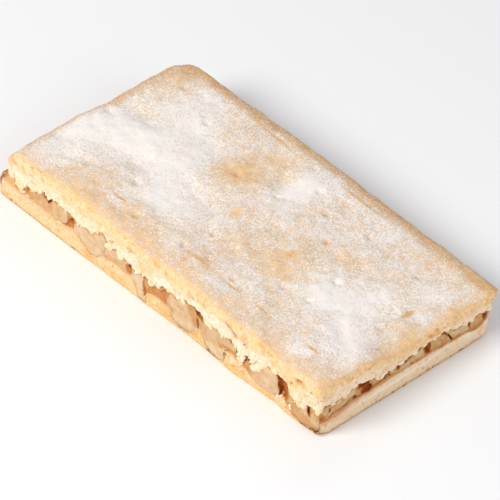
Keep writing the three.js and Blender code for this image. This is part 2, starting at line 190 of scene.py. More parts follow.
def grain_noise(points, size, seed):
    """Round lumps of about the given size: 1 in the middle of each lump and 0 in the creases."""
    place = points / size
    cell = np.floor(place).astype(np.int64)
    nearest = np.full(len(points), 9.0)
    for i in (-1, 0, 1):
        for j in (-1, 0, 1):
            for k in (-1, 0, 1):
                neighbour = cell + np.array([i, j, k])
                centre = np.stack([
                    lattice_value(neighbour, seed),
                    lattice_value(neighbour, seed + 11),
                    lattice_value(neighbour, seed + 23),
                ], axis=1)
                away = np.linalg.norm(neighbour + centre - place, axis=1)
                nearest = np.minimum(nearest, away)
    return np.clip(1 - nearest * nearest, 0, 1)


def smoothstep(value, low, high):
    t = np.clip((value - low) / (high - low), 0, 1)
    return t * t * (3 - 2 * t)


def lerp(low, high, t):
    return low + (high - low) * t


# ---- The bar's surfaces, as in the solids ---------------------------------------------------------------

# Heights over the base at five stations along the bar from left to right.
TOP_SURFACE = {
    "near": [19.4, 20.6, 20.2, 19.3, 18.2],
    "middle": [19.6, 19.6, 18.8, 17.6, 15.2],
    "far": [19.3, 18.9, 18.3, 16.6, 15.4],
}
TOP_UNDERSIDE = {
    "near": [12.3, 13.9, 13.1, 12.8, 10.8],
    "middle": [12.0, 13.0, 12.6, 12.0, 10.9],
    "far": [11.6, 12.0, 11.6, 11.0, 10.5],
}
BOTTOM_SURFACE = {
    "near": [7.4, 7.2, 5.4, 5.7, 5.4],
    "middle": [6.8, 6.6, 6.4, 6.6, 7.1],
    "far": [6.4, 6.2, 6.0, 5.8, 5.6],
}

# Swells and hollows of the upper surface: x, y, radius and height.
HUMPS = [
    (-38, -29, 14, 0.9), (-3, -34, 7, -1.1), (10, -31, 8, 0.8), (55, -35, 6, -1.2), (65, -20, 10, 1.0),
    (71, -3, 9, -0.7), (-67, 8, 11, -1.0), (-49, -4, 12, 0.7), (-23, 14, 12, 0.6), (-9, -8, 13, -0.7),
    (31, 2, 15, 0.7),
]
CUT_EDGE = {"width": 2.4, "drop": 2.2}
BAKED_EDGE = {"width": 6.5, "drop": 2.8}
CORNER = {"tray_corner": 8.0, "left_near": 1.5, "right_near": 2.0, "right_far": 4.0}
RIM_WIDTH = 5.2
RIM_TOP_INSET = 1.9
RIM_HEIGHT = {"left_near": 8.0, "left_far": 9.0, "far_right": 8.8}
SEAM_GAP = {"left_near": 3.6, "closed": 0.35, "closed_from": 44}
SEAM_INSET = {"from": 3, "to": 9}
TOP_UNDERCUT = 2.2


def station_value(values, share):
    """The value at a share of the way through evenly spaced stations, on a smooth curve."""
    values = [np.broadcast_to(np.asarray(value, float), share.shape) for value in values]
    stack = np.stack(values)
    last = len(values) - 1
    place = np.clip(share, 0, 1) * last
    index = np.minimum(np.floor(place).astype(int), last - 1)
    t = place - index

    def at(step):
        return np.take_along_axis(stack, np.clip(index + step, 0, last)[None], axis=0)[0]

    slope_from = (at(1) - at(-1)) / 2
    slope_to = (at(2) - at(0)) / 2
    t2, t3 = t * t, t * t * t
    curve = (2 * t3 - 3 * t2 + 1) * at(0) + (t3 - 2 * t2 + t) * slope_from
    return curve + (3 * t2 - 2 * t3) * at(1) + (t3 - t2) * slope_to


def surface_height(rows, x, y):
    along = (x + BAR_LENGTH / 2) / BAR_LENGTH
    across = (y + BAR_WIDTH / 2) / BAR_WIDTH
    return station_value([station_value(rows[side], along) for side in ("near", "middle", "far")], across)


def edge_drop(edge, distance):
    out = np.clip(1 - distance / edge["width"], 0, 1)
    return edge["drop"] * (1 - np.sqrt(1 - out * out))


def baked_distance(box, x, y):
    """How far a point is in from the baked sides, which meet in the round tray corner."""
    from_left = x - box["left"]
    from_far = box["far"] - y
    radius = CORNER["tray_corner"]
    straight = np.minimum(from_left, from_far)
    round_corner = radius - np.hypot(radius - from_left, radius - from_far)
    return np.where((from_left > radius) | (from_far > radius), straight, round_corner)


def upper_height(x, y):
    height = surface_height(TOP_SURFACE, x, y)
    for hump_x, hump_y, radius, rise in HUMPS:
        height += rise * np.exp(-((x - hump_x) ** 2 + (y - hump_y) ** 2) / radius ** 2)
    height -= edge_drop(CUT_EDGE, y - TOP_BOX["near"]) + edge_drop(CUT_EDGE, TOP_BOX["right"] - x)
    return height - edge_drop(BAKED_EDGE, baked_distance(TOP_BOX, x, y))


def rim_height(x, y):
    along_left = np.clip((y - BOTTOM_BOX["near"]) / (BOTTOM_BOX["far"] - BOTTOM_BOX["near"]), 0, 1)
    along_far = np.clip((x - BOTTOM_BOX["left"]) / BAR_LENGTH, 0, 1)
    left = lerp(RIM_HEIGHT["left_near"], RIM_HEIGHT["left_far"], along_left)
    return left + (RIM_HEIGHT["far_right"] - RIM_HEIGHT["left_far"]) * along_far


def rim_share(x, y):
    return 1 - smoothstep(baked_distance(BOTTOM_BOX, x, y), RIM_TOP_INSET, RIM_WIDTH)


def bottom_upper_height(x, y):
    return lerp(surface_height(BOTTOM_SURFACE, x, y), rim_height(x, y), rim_share(x, y))


def seam_gap(y):
    open_share = 1 - smoothstep(y - TOP_BOX["near"], 0, SEAM_GAP["closed_from"])
    return lerp(SEAM_GAP["closed"], SEAM_GAP["left_near"], open_share)


def underside_height(x, y):
    on_rim = 1 - smoothstep(baked_distance(TOP_BOX, x, y), SEAM_INSET["from"], SEAM_INSET["to"])
    return lerp(surface_height(TOP_UNDERSIDE, x, y), rim_height(x, y) + seam_gap(y), on_rim)


# ---- Skins made of rings --------------------------------------------------------------------------------

CUTS = ("near", "right")
FLAT = np.array([1, 1, 0])  # takes the height out of points
UPWARDS = np.array([0, 0, 1])


class Outline:
    """Places round the edge of a grid of cells, counterclockwise from the near left corner, with so many
    places to a cell on the two cuts and on the two baked sides."""

    def __init__(self, cells, on_cuts=1, on_baked=1):
        self.steps = [cells[0] * on_cuts, cells[1] * on_cuts, cells[0] * on_baked, cells[1] * on_baked]
        near, right, far, left = [-1 + 2 * np.arange(count) / count for count in self.steps]
        self.u = np.concatenate([near, np.ones_like(right), -far, -np.ones_like(left)])
        self.v = np.concatenate([-np.ones_like(near), right, np.ones_like(far), -left])
        side = np.repeat(np.arange(4), self.steps)
        self.on_near = side == 0
        self.on_right = side == 1
        self.is_cut = self.on_near | self.on_right

    def pick(self, near, right, baked=0.0):
        """One value at the near cut, one at the right cut and one at the baked sides."""
        return np.where(self.on_near, near, np.where(self.on_right, right, baked))


def place_in_outline(box, cut, baked, u, v):
    """The point at u, v of a rounded rectangle that stands in from the cut and the baked sides."""
    left, right = box["left"] + baked, box["right"] - cut
    near, far = box["near"] + cut, box["far"] - baked
    half_x, half_y = (right - left) / 2, (far - near) / 2
    left_radius = np.where(v < 0, CORNER["left_near"], CORNER["tray_corner"])
    right_radius = np.where(v < 0, CORNER["right_near"], CORNER["right_far"])
    radius = np.where(u < 0, left_radius, right_radius)
    x, y = np.abs(u) * half_x, np.abs(v) * half_y
    past_x, past_y = x - (half_x - radius), y - (half_y - radius)
    in_corner = (past_x > 0) & (past_y > 0)
    reach = np.where(in_corner, np.hypot(past_x, past_y), 1)
    shrink = np.maximum(past_x, past_y) / reach
    x = np.where(in_corner, half_x - radius + past_x * shrink, x)
    y = np.where(in_corner, half_y - radius + past_y * shrink, y)
    return (left + right) / 2 + np.sign(u) * x, (near + far) / 2 + np.sign(v) * y


def sheet_points(u, v, box, cut, baked, height):
    """Points at u, v of a rounded rectangle. height is a number, numbers or a function of x and y."""
    x, y = place_in_outline(box, cut, baked, u, v)
    z = height(x, y) if callable(height) else np.broadcast_to(height, x.shape)
    return np.stack([x, y, z], axis=1)


def ring_points(outline, box, cut, baked, height):
    """Points round the edge of a rounded rectangle."""
    return sheet_points(outline.u, outline.v, box, cut, baked, height)


class Skin:
    """A closed skin of rings, the first filled with a grid facing up and the last facing down. Each point
    has a number for each value name."""

    def __init__(self, value_names):
        self.value_names = value_names
        self.points = []
        self.values = []
        self.faces = []
        self.count = 0
        self.last_ring = None

    def add(self, points, **values):
        """Adds points and their values, 0 where one isn't given, and returns their numbers."""
        first = self.count
        columns = [np.broadcast_to(values.get(name, 0.0), (len(points),)) for name in self.value_names]
        self.points.append(points)
        self.values.append(np.stack(columns, axis=1))
        self.count += len(points)
        return np.arange(first, self.count)

    def add_ring(self, outline, points, **values):
        """Adds a ring and joins it to the one before."""
        ring = (self.add(points, **values), outline.steps)
        if self.last_ring is not None:
            self.join(self.last_ring, ring)
        self.last_ring = ring
        return ring[0]

    def join(self, upper, lower):
        """Joins two rings, each given as its points' numbers and its steps on each side."""
        top = np.append(upper[0], upper[0][0])
        foot = np.append(lower[0], lower[0][0])
        top_first = foot_first = 0
        for top_steps, foot_steps in zip(upper[1], lower[1]):
            top_last, foot_last = top_first + top_steps, foot_first + foot_steps
            self.join_side(top[top_first:top_last + 1], foot[foot_first:foot_last + 1])
            top_first, foot_first = top_last, foot_last

    def join_side(self, top, foot):
        """Joins two rows of points, of which one may have twice as many steps as the other."""
        if len(top) == len(foot):
            self.add_faces(top[:-1], foot[:-1], foot[1:], top[1:])
        elif len(top) < len(foot):
            first, middle, last = foot[0:-1:2], foot[1::2], foot[2::2]
            self.add_faces(top[:-1], first, middle)
            self.add_faces(top[:-1], middle, last, top[1:])
        else:
            first, middle, last = top[0:-1:2], top[1::2], top[2::2]
            self.add_faces(first, foot[:-1], middle)
            self.add_faces(middle, foot[:-1], foot[1:], last)

    def add_faces(self, *corners):
        self.faces += np.stack(corners, axis=1).tolist()

    def fill(self, cells, ring, sheet, facing_up, **values):
        """Fills a ring with a grid of cells on a sheet, which is what sheet_points takes after u and v."""
        u, v = np.meshgrid(
            np.linspace(-1, 1, cells[0] + 1)[1:-1],
            np.linspace(-1, 1, cells[1] + 1)[1:-1],
            indexing="ij",
        )
        points = sheet_points(u.ravel(), v.ravel(), *sheet)
        given = {name: value(points) if callable(value) else value for name, value in values.items()}
        along, across = cells
        grid = np.empty((along + 1, across + 1), int)
        grid[1:-1, 1:-1] = self.add(points, **given).reshape(u.shape)
        grid[:along, 0] = ring[:along]
        grid[along, :across] = ring[along:along + across]
        grid[1:, across] = ring[along + across:2 * along + across][::-1]
        grid[0, 1:] = ring[2 * along + across:][::-1]
        corners = [grid[:-1, :-1], grid[1:, :-1], grid[1:, 1:], grid[:-1, 1:]]
        if not facing_up:
            corners.reverse()
        self.add_faces(*[corner.ravel() for corner in corners])

    def object(self, name, material):
        columns = np.concatenate(self.values)
        values = {value_name: columns[:, k] for k, value_name in enumerate(self.value_names)}
        return make_mesh(name, np.concatenate(self.points), self.faces, values, material)


def make_mesh(name, points, faces, values, material):
    """A smooth mesh object from points in millimetres, with one named number for each point."""
    mesh = bpy.data.meshes.new(name)
    mesh.from_pydata((np.asarray(points) * MM).tolist(), [], faces)
    for value_name, numbers in values.items():
        attribute = mesh.attributes.new(value_name, "FLOAT", "POINT")
        attribute.data.foreach_set("value", np.asarray(numbers, np.float32))
    mesh.shade_smooth()
    mesh.materials.append(material)
    return add_to_scene(name, mesh)


def inside_box(points):
    """Points kept behind the planes of the two cuts."""
    return np.stack([
        np.minimum(points[:, 0], TOP_BOX["right"]), np.maximum(points[:, 1], TOP_BOX["near"]), points[:, 2],
    ], axis=1)


# The outlines on the two cuts are traced as they show against the plane of the cut. A place that stands back
# from that plane shows further along and higher, by this much for each millimetre.
SHOWN_SHIFT = {
    "near": (math.tan(CAMERA_AZIMUTH), math.tan(CAMERA_ELEVATION) / math.cos(CAMERA_AZIMUTH)),
    "right": (-1 / math.tan(CAMERA_AZIMUTH), math.tan(CAMERA_ELEVATION) / math.sin(CAMERA_AZIMUTH)),
}


def as_shown(along, up, side, inset):
    """Where places that stand back from a cut show against its plane."""
    shift_along, shift_up = SHOWN_SHIFT[side]
    return along + shift_along * inset, up + shift_up * inset


def traced_height(line, along, side, inset):
    """The height of a line traced on a cut, where it stands back from the cut's plane."""
    shown_along, shown_up = as_shown(along, 0.0, side, inset)
    return np.interp(shown_along, *zip(*line)) - shown_up


def on_cut(along, inward, z, is_near):
    """Points on the near or the right cut: how far along it, how far in from it, and their height."""
    if is_near:
        return inside_box(np.stack([along, TOP_BOX["near"] + inward, z], axis=1))
    return inside_box(np.stack([TOP_BOX["right"] - inward, along, z], axis=1))


# ---- Materials ------------------------------------------------------------------------------------------


def linear(hex_colour):
    """A linear colour with alpha from an sRGB hex value."""
    channels = [int(hex_colour[k:k + 2], 16) / 255 for k in (1, 3, 5)]
    return [c / 12.92 if c <= 0.04045 else ((c + 0.055) / 1.055) ** 2.4 for c in channels] + [1.0]


def add(tree, kind, settings=None, inputs=None, stops=None):
    """Adds a node with its settings, and links or sets its inputs, which go by name or number. stops are a
    colour ramp's places and hex colours."""
    made = tree.nodes.new(kind)
    for key, value in (settings or {}).items():
        setattr(made, key, value)
    for key, value in (inputs or {}).items():
        if isinstance(value, bpy.types.NodeSocket):
            tree.links.new(value, made.inputs[key])
        else:
            made.inputs[key].default_value = value
    if stops:
        elements = made.color_ramp.elements
        elements.remove(elements[-1])
        elements[0].position, elements[0].color = stops[0][0], linear(stops[0][1])
        for position, hex_colour in stops[1:]:
            elements.new(position).color = linear(hex_colour)
    return made


def new_material(name):
    material = bpy.data.materials.new(name)
    material.use_nodes = True
    material.node_tree.nodes.clear()
    return material, material.node_tree


def per_mm(size):
    """The texture scale that gives waves of this many millimetres, on places in metres."""
    return 1 / (size * MM)


COLOUR_MIX = {"data_type": "RGBA"}
SMOOTH_RANGE = {"interpolation_type": "SMOOTHSTEP"}
FACTOR, FIRST, SECOND, MIXED = 0, 6, 7, 2  # sockets of a colour mix


def crumb_colour(tree, grain, share, first_stops, second_stops):
    """The colour of crumb between two sorts, each of which has its own run of colours over the grain."""
    first, second = [
        add(tree, "ShaderNodeValToRGB", None, {"Fac": grain}, stops).outputs["Color"]
        for stops in (first_stops, second_stops)
    ]
    mixed = add(tree, "ShaderNodeMix", COLOUR_MIX, {FACTOR: share, FIRST: first, SECOND: second})
    return mixed.outputs[MIXED]


def card_white():
    """White card, matt and smooth: it shows as a clean pale ground."""
    material, tree = new_material("card_white")
    shader = add(tree, "ShaderNodeBsdfPrincipled", None, {
        "Base Color": linear("#f4f7fc"), "Roughness": 0.9, "Specular IOR Level": 0.1,
    })
    add(tree, "ShaderNodeOutputMaterial", None, {"Surface": shader.outputs[0]})
    return material


def tan_crust(tree, place, grain):
    """The colour of a soft crust baked in a tray: its skin is tan and mottled and its cut crumb pale yellow.
    Where deep is high the crumb turns golden brown. In pores, creases, pits and under the foot this is
    painted shade; in broad patches it is the crumb's own colour."""
    cut, pale, deep, baked = [
        add(tree, "ShaderNodeAttribute", {"attribute_name": name}).outputs["Fac"]
        for name in ("cut", "pale", "deep", "baked")
    ]
    mottle = add(tree, "ShaderNodeTexNoise", None, {
        "Vector": place, "Scale": per_mm(4.0), "Detail": 5.0, "Roughness": 0.65,
    })
    skin = add(tree, "ShaderNodeValToRGB", None, {"Fac": mottle.outputs["Fac"]}, [
        (0.30, "#dcaf7a"), (0.46, "#e4be8f"), (0.60, "#eccb9e"), (0.78, "#f2d9b4"),
    ])
    golden = [(0.30, "#ecb877"), (0.47, "#f7ce97"), (0.64, "#fcdfb5")]
    cream = [(0.30, "#f5d2a2"), (0.47, "#fce4c8"), (0.64, "#fff3e6")]
    # Golden brown by deep: painted shade in pores, creases, pits and under the foot, and the crumb's own
    # golden patches.
    deep_shaded = add(tree, "ShaderNodeMix", COLOUR_MIX, {
        FACTOR: deep, FIRST: crumb_colour(tree, grain, pale, golden, cream), SECOND: linear("#d4872e"),
    })
    edge = add(tree, "ShaderNodeMapRange", SMOOTH_RANGE, {
        "Value": cut, "From Min": 0.0, "From Max": 0.4,
    })
    inside = add(tree, "ShaderNodeMapRange", SMOOTH_RANGE, {
        "Value": cut, "From Min": 0.3, "From Max": 0.9,
    })
    skin_edge = add(tree, "ShaderNodeMix", COLOUR_MIX, {
        FACTOR: edge.outputs[0], FIRST: skin.outputs["Color"], SECOND: linear("#f2c58c"),
    })
    crust = add(tree, "ShaderNodeMix", COLOUR_MIX, {
        FACTOR: inside.outputs[0], FIRST: skin_edge.outputs[MIXED], SECOND: deep_shaded.outputs[MIXED],
    })
    browned = add(tree, "ShaderNodeMix", COLOUR_MIX, {
        FACTOR: baked, FIRST: crust.outputs[MIXED], SECOND: linear("#c08a50"),
    })
    return browned.outputs[MIXED]


def dusted_with_sugar(tree, place, crust):
    """A crust's colour under icing sugar, and how far it is covered with specks. The sugar is a thin veil
    with fine white specks that close up where it is thick."""
    sugar = add(tree, "ShaderNodeAttribute", {"attribute_name": "sugar"}).outputs["Fac"]
    clumps = add(tree, "ShaderNodeTexNoise", None, {
        "Vector": place, "Scale": per_mm(1.6), "Detail": 3.0, "Roughness": 0.65,
    })
    amount = add(tree, "ShaderNodeMath", {"operation": "MULTIPLY_ADD"}, {
        0: clumps.outputs["Fac"], 1: 0.60, 2: sugar,
    })
    veil = add(tree, "ShaderNodeMapRange", SMOOTH_RANGE, {
        "Value": amount.outputs[0], "From Min": 0.34, "From Max": 1.24, "To Max": 0.66,
    })
    veiled = add(tree, "ShaderNodeMix", COLOUR_MIX, {
        FACTOR: veil.outputs[0], FIRST: crust, SECOND: linear("#eee7e3"),
    })
    grains = add(tree, "ShaderNodeTexNoise", None, {
        "Vector": place, "Scale": per_mm(0.62), "Detail": 2.0, "Roughness": 0.8,
    })
    heaped = add(tree, "ShaderNodeMath", {"operation": "MULTIPLY_ADD"}, {
        0: amount.outputs[0], 1: 0.42, 2: grains.outputs["Fac"],
    })
    specks = add(tree, "ShaderNodeMapRange", SMOOTH_RANGE, {
        "Value": heaped.outputs[0], "From Min": 0.81, "From Max": 0.91, "To Max": 0.95,
    })
    dusted = add(tree, "ShaderNodeMix", COLOUR_MIX, {
        FACTOR: specks.outputs[0], FIRST: veiled.outputs[MIXED], SECOND: linear("#f7f3f1"),
    })
    return dusted.outputs[MIXED], specks.outputs[0]


def tan_crust_under_icing_sugar():
    """A soft tan crust under icing sugar: matt, with a fine open crumb and low grains of sugar."""
    material, tree = new_material("tan_crust_under_icing_sugar")
    place = add(tree, "ShaderNodeNewGeometry").outputs["Position"]
    grain = add(tree, "ShaderNodeTexNoise", None, {
        "Vector": place, "Scale": per_mm(1.0), "Detail": 5.0, "Roughness": 0.72,
    })
    crust = tan_crust(tree, place, grain.outputs["Fac"])
    dusted, specks = dusted_with_sugar(tree, place, crust)
    dusting = add(tree, "ShaderNodeBump", None, {
        "Height": specks, "Strength": 0.6, "Distance": 0.16 * MM,
    })
    fine = add(tree, "ShaderNodeBump", None, {
        "Height": grain.outputs["Fac"], "Strength": 0.7, "Distance": 0.45 * MM,
        "Normal": dusting.outputs[0],
    })
    shader = add(tree, "ShaderNodeBsdfPrincipled", None, {
        "Base Color": dusted, "Roughness": 0.92, "Specular IOR Level": 0.2,
        "Subsurface Weight": 0.08, "Subsurface Radius": (0.8 * MM, 0.6 * MM, 0.4 * MM),
        "Subsurface Scale": 1.0, "Normal": fine.outputs[0],
    })
    add(tree, "ShaderNodeOutputMaterial", None, {"Surface": shader.outputs[0]})
    return material


def firm_shortcrust():
    """The firm lower crust: fine-grained and pale at the cut, with yellow patches and white streaks of
    flour, soaked where the apple lay on it, and brown with darker specks where it lay on the tray. Its pores
    and creases are darkened golden brown as painted shade."""
    material, tree = new_material("firm_shortcrust")
    place = add(tree, "ShaderNodeNewGeometry").outputs["Position"]
    baked, moist, deep, yolk, flour = [
        add(tree, "ShaderNodeAttribute", {"attribute_name": name}).outputs["Fac"]
        for name in ("baked", "moist", "deep", "yolk", "flour")
    ]
    grain = add(tree, "ShaderNodeTexNoise", None, {
        "Vector": place, "Scale": per_mm(0.8), "Detail": 5.0, "Roughness": 0.75,
    })
    pale = [(0.32, "#e8bb84"), (0.48, "#f3d2a6"), (0.66, "#fbe6c9")]
    yellow = [(0.32, "#da963f"), (0.48, "#eebb74"), (0.66, "#f9d59c")]
    crumb = crumb_colour(tree, grain.outputs["Fac"], yolk, pale, yellow)
    floury = add(tree, "ShaderNodeMix", COLOUR_MIX, {
        FACTOR: flour, FIRST: crumb, SECOND: linear("#fbf0e2"),
    })
    # Painted shade: pores and creases darkened golden brown by deep.
    deep_shaded = add(tree, "ShaderNodeMix", COLOUR_MIX, {
        FACTOR: deep, FIRST: floury.outputs[MIXED], SECOND: linear("#c98136"),
    })
    soaked = add(tree, "ShaderNodeMix", COLOUR_MIX, {
        FACTOR: moist, FIRST: deep_shaded.outputs[MIXED], SECOND: linear("#da8c40"),
    })
    toasted = add(tree, "ShaderNodeMapRange", None, {"Value": baked, "From Max": 0.6})
    burnt = add(tree, "ShaderNodeMapRange", None, {"Value": baked, "From Min": 0.6})
    browned = add(tree, "ShaderNodeMix", COLOUR_MIX, {
        FACTOR: toasted.outputs[0], FIRST: soaked.outputs[MIXED], SECOND: linear("#c08446"),
    })
    darkest = add(tree, "ShaderNodeMix", COLOUR_MIX, {
        FACTOR: burnt.outputs[0], FIRST: browned.outputs[MIXED], SECOND: linear("#6e3a16"),
    })
    bump = add(tree, "ShaderNodeBump", None, {
        "Height": grain.outputs["Fac"], "Strength": 0.7, "Distance": 0.35 * MM,
    })
    shader = add(tree, "ShaderNodeBsdfPrincipled", None, {
        "Base Color": darkest.outputs[MIXED], "Roughness": 0.85, "Specular IOR Level": 0.2,
        "Subsurface Weight": 0.08, "Subsurface Radius": (0.8 * MM, 0.5 * MM, 0.3 * MM),
        "Subsurface Scale": 1.0, "Normal": bump.outputs[0],
    })
    add(tree, "ShaderNodeOutputMaterial", None, {"Surface": shader.outputs[0]})
    return material


def stewed_apple():
    """Cooked apple in its syrup: moist and slightly see-through, beige where the flesh is thick, and amber
    to dark brown where syrup has gathered in the gaps. The same colours paint shade into the hollows, behind
    crumb and under the top crust."""
    material, tree = new_material("stewed_apple")
    place = add(tree, "ShaderNodeNewGeometry").outputs["Position"]
    # This value holds the syrup's colour and painted shade in hollows, behind crumb and under the top crust.
    stain = add(tree, "ShaderNodeAttribute", {"attribute_name": "stain"}).outputs["Fac"]
    fibre = add(tree, "ShaderNodeTexNoise", None, {
        "Vector": place, "Scale": per_mm(2.0), "Detail": 6.0, "Roughness": 0.7,
    })
    uneven = add(tree, "ShaderNodeMath", {"operation": "MULTIPLY_ADD"}, {
        0: fibre.outputs["Fac"], 1: 0.46, 2: stain,
    })
    tone = add(tree, "ShaderNodeMath", {"operation": "SUBTRACT"}, {0: uneven.outputs[0], 1: 0.23})
    flesh = add(tree, "ShaderNodeValToRGB", None, {"Fac": tone.outputs[0]}, [
        (0.00, "#e4cfad"), (0.20, "#d7b993"), (0.40, "#cb9f6b"), (0.60, "#c18347"), (0.80, "#b06321"),
        (1.00, "#8a3e07"),
    ])
    bump = add(tree, "ShaderNodeBump", None, {
        "Height": fibre.outputs["Fac"], "Strength": 0.35, "Distance": 0.4 * MM,
    })
    shader = add(tree, "ShaderNodeBsdfPrincipled", None, {
        "Base Color": flesh.outputs["Color"], "Roughness": 0.42, "IOR": 1.38, "Specular IOR Level": 0.28,
        "Subsurface Weight": 0.25, "Subsurface Radius": (1.4 * MM, 0.9 * MM, 0.5 * MM),
        "Subsurface Scale": 1.0, "Normal": bump.outputs[0],
    })
    add(tree, "ShaderNodeOutputMaterial", None, {"Surface": shader.outputs[0]})
    return material


def torn_crumb():
    """Crumb torn from the soft crust: pale golden, white where it is freshly torn, matt and open."""
    material, tree = new_material("torn_crumb")
    place = add(tree, "ShaderNodeNewGeometry").outputs["Position"]
    grain = add(tree, "ShaderNodeTexNoise", None, {
        "Vector": place, "Scale": per_mm(0.8), "Detail": 3.0, "Roughness": 0.65,
    })
    white = add(tree, "ShaderNodeAttribute", {"attribute_name": "white"}).outputs["Fac"]
    golden = [(0.32, "#eec48c"), (0.48, "#f8d8a9"), (0.64, "#fde6c4")]
    cream = [(0.32, "#f7d9ae"), (0.48, "#fde7c9"), (0.64, "#fff1df")]
    bump = add(tree, "ShaderNodeBump", None, {
        "Height": grain.outputs["Fac"], "Strength": 0.5, "Distance": 0.25 * MM,
    })
    shader = add(tree, "ShaderNodeBsdfPrincipled", None, {
        "Base Color": crumb_colour(tree, grain.outputs["Fac"], white, golden, cream),
        "Roughness": 0.95, "Specular IOR Level": 0.2,
        "Subsurface Weight": 0.08, "Subsurface Radius": (0.6 * MM, 0.5 * MM, 0.4 * MM),
        "Subsurface Scale": 1.0, "Normal": bump.outputs[0],
    })
    add(tree, "ShaderNodeOutputMaterial", None, {"Surface": shader.outputs[0]})
    return material


def icing_sugar():
    """Icing sugar: white and matt."""
    material, tree = new_material("icing_sugar")
    shader = add(tree, "ShaderNodeBsdfPrincipled", None, {
        "Base Color": linear("#f8f5f3"), "Roughness": 0.8, "Specular IOR Level": 0.3,
    })
    add(tree, "ShaderNodeOutputMaterial", None, {"Surface": shader.outputs[0]})
    return material


# ---- Where the icing sugar lies -------------------------------------------------------------------------

SUGAR_BASE = 0.50
SUGAR_DRIFTS = {"size": 9.0, "amount": 0.12}
SUGAR_WISPS = {"size": 2.2, "amount": 0.06}
# Thick and thin patches of the dusting: x, y, half length, half width, turn in degrees, amount.
SUGAR_PATCHES = [
    (-47, -5, 26, 11, 8, 0.42), (-40, 14, 20, 10, -20, 0.32), (-62, -12, 8, 10, 0, 0.25),
    (-17, -14, 9, 6, -20, 0.36), (4, 19, 5, 12, -20, 0.42), (24, 14, 8, 7, 0, 0.16),
    (52, -1, 10, 9, 0, 0.42), (62, -15, 8, 7, -45, 0.42), (43, -5, 7, 9, 0, 0.22),
    (22, -28, 4, 3, 0, 0.25), (56, -28, 6, 3, 0, 0.22), (-48, 26, 10, 5, 0, 0.15),
    (-13.5, 8.5, 7, 7.5, 0, -0.36), (-9, 23, 5, 8, -30, -0.20), (-60, 25, 9, 8, 0, -0.22),
    (16, 13, 6, 6, 0, -0.08), (10, -5, 13, 9, 0, -0.06), (28, -11, 9, 8, -45, -0.08),
    (-68, 10, 5, 8, 0, -0.25), (0, -3, 2.2, 2, 0, -0.3), (25, -3, 3, 1.6, 25, -0.3),
    (-55, -27, 12, 5, 0, 0.10), (62, 20, 8, 12, 0, 0.10),
]
# Strips along the four sides where less sugar lies: where each begins, where it is full, how much less.
FAR_STRIP = {"from": 30.5, "full": 32.5, "less": 0.18}
NEAR_STRIP = {"from": -25.0, "full": -33.0, "less": 0.12}
RIGHT_STRIP = {"from": 67.0, "full": 71.0, "less": 0.20}
LEFT_STRIP = {"from": -64.5, "full": -67.5, "less": 0.15}
# Places rubbed bare: x, y, half length, half width, turn in degrees.
BARE_STREAKS = [
    (9.5, -25.4, 4.6, 0.55, 0), (23.5, -25.5, 3.0, 0.3, 0), (37, -25.6, 2.6, 0.3, 0),
    (58.5, -25.4, 2.2, 0.3, 0), (63.5, 7.0, 0.7, 2.8, 4), (66.0, 32.2, 5.0, 1.6, 0),
    (-19, 29.6, 8.0, 0.4, -4), (21, 29.8, 9.0, 0.4, 0), (-26, -25.3, 2.6, 0.35, 0),
]
# How deep they are, how much less sugar they have and how browned they are.
STREAK = {"depth": 0.18, "less": 0.75, "browned": 0.40}
# Holes pricked in the crust before it was baked: x, y.
PRICK_HOLES = [
    (-55, 24), (-62, 0), (-50, -29), (-29, -16.6), (-17.5, -26.6), (-13, 9), (1.7, 11.8), (8.8, 22.6),
    (17, 18), (1.7, -24.5), (2.5, -14), (12, -14), (21.7, -23), (26.7, 8.8), (33, -13.7), (33, 20.5),
    (41, -0.7), (54, 20), (41.7, -12), (11, -23), (-37, 18), (63, -3),
]
# How wide and deep the pricked holes are, how much less sugar lies in them and how browned they are. The
# browning is partly the bare skin's colour and partly painted shade in holes narrower than the mesh shows.
PRICK = {"radius": 1.0, "depth": 1.3, "less": 0.10, "browned": 0.35}


def patch(x, y, oval):
    """1 in the middle of an oval patch and falling off smoothly past its edge."""
    centre_x, centre_y, half_length, half_width, turn = oval
    angle = math.radians(turn)
    along = (x - centre_x) * math.cos(angle) + (y - centre_y) * math.sin(angle)
    across = (y - centre_y) * math.cos(angle) - (x - centre_x) * math.sin(angle)
    return np.exp(-(along / half_length) ** 2 - (across / half_width) ** 2)


def pricked(x, y):
    """1 in the middle of each pricked hole and 0 away from them."""
    total = np.zeros_like(x)
    for hole_x, hole_y in PRICK_HOLES:
        total += patch(x, y, (hole_x, hole_y, PRICK["radius"], PRICK["radius"], 0))
    return total


def sugar_cover(x, y):
    """How thickly the icing sugar lies, from 0 to 1."""
    flat = np.stack([x, y, np.zeros_like(x)], axis=1)
    drifts = SUGAR_DRIFTS["amount"] * rough_noise(flat, SUGAR_DRIFTS["size"], 3, SEED)
    wisps = SUGAR_WISPS["amount"] * smooth_noise(flat, SUGAR_WISPS["size"], SEED + 5)
    cover = SUGAR_BASE + drifts + wisps
    for *oval, amount in SUGAR_PATCHES:
        cover = cover + amount * patch(x, y, oval)
    for strip, place in ((FAR_STRIP, y), (NEAR_STRIP, y), (RIGHT_STRIP, x), (LEFT_STRIP, x)):
        share = np.clip((place - strip["from"]) / (strip["full"] - strip["from"]), 0, 1)
        cover = cover - strip["less"] * share
    for streak in BARE_STREAKS:
        cover = cover - STREAK["less"] * patch(x, y, streak)
    return np.clip(cover - PRICK["less"] * pricked(x, y), 0, 1)


# ---- The top crust --------------------------------------------------------------------------------------

TOP_CELLS = (200, 100)
UNDER_CELLS = (100, 50)
EDGE_RINGS = 12
SIDE_ROWS = 26
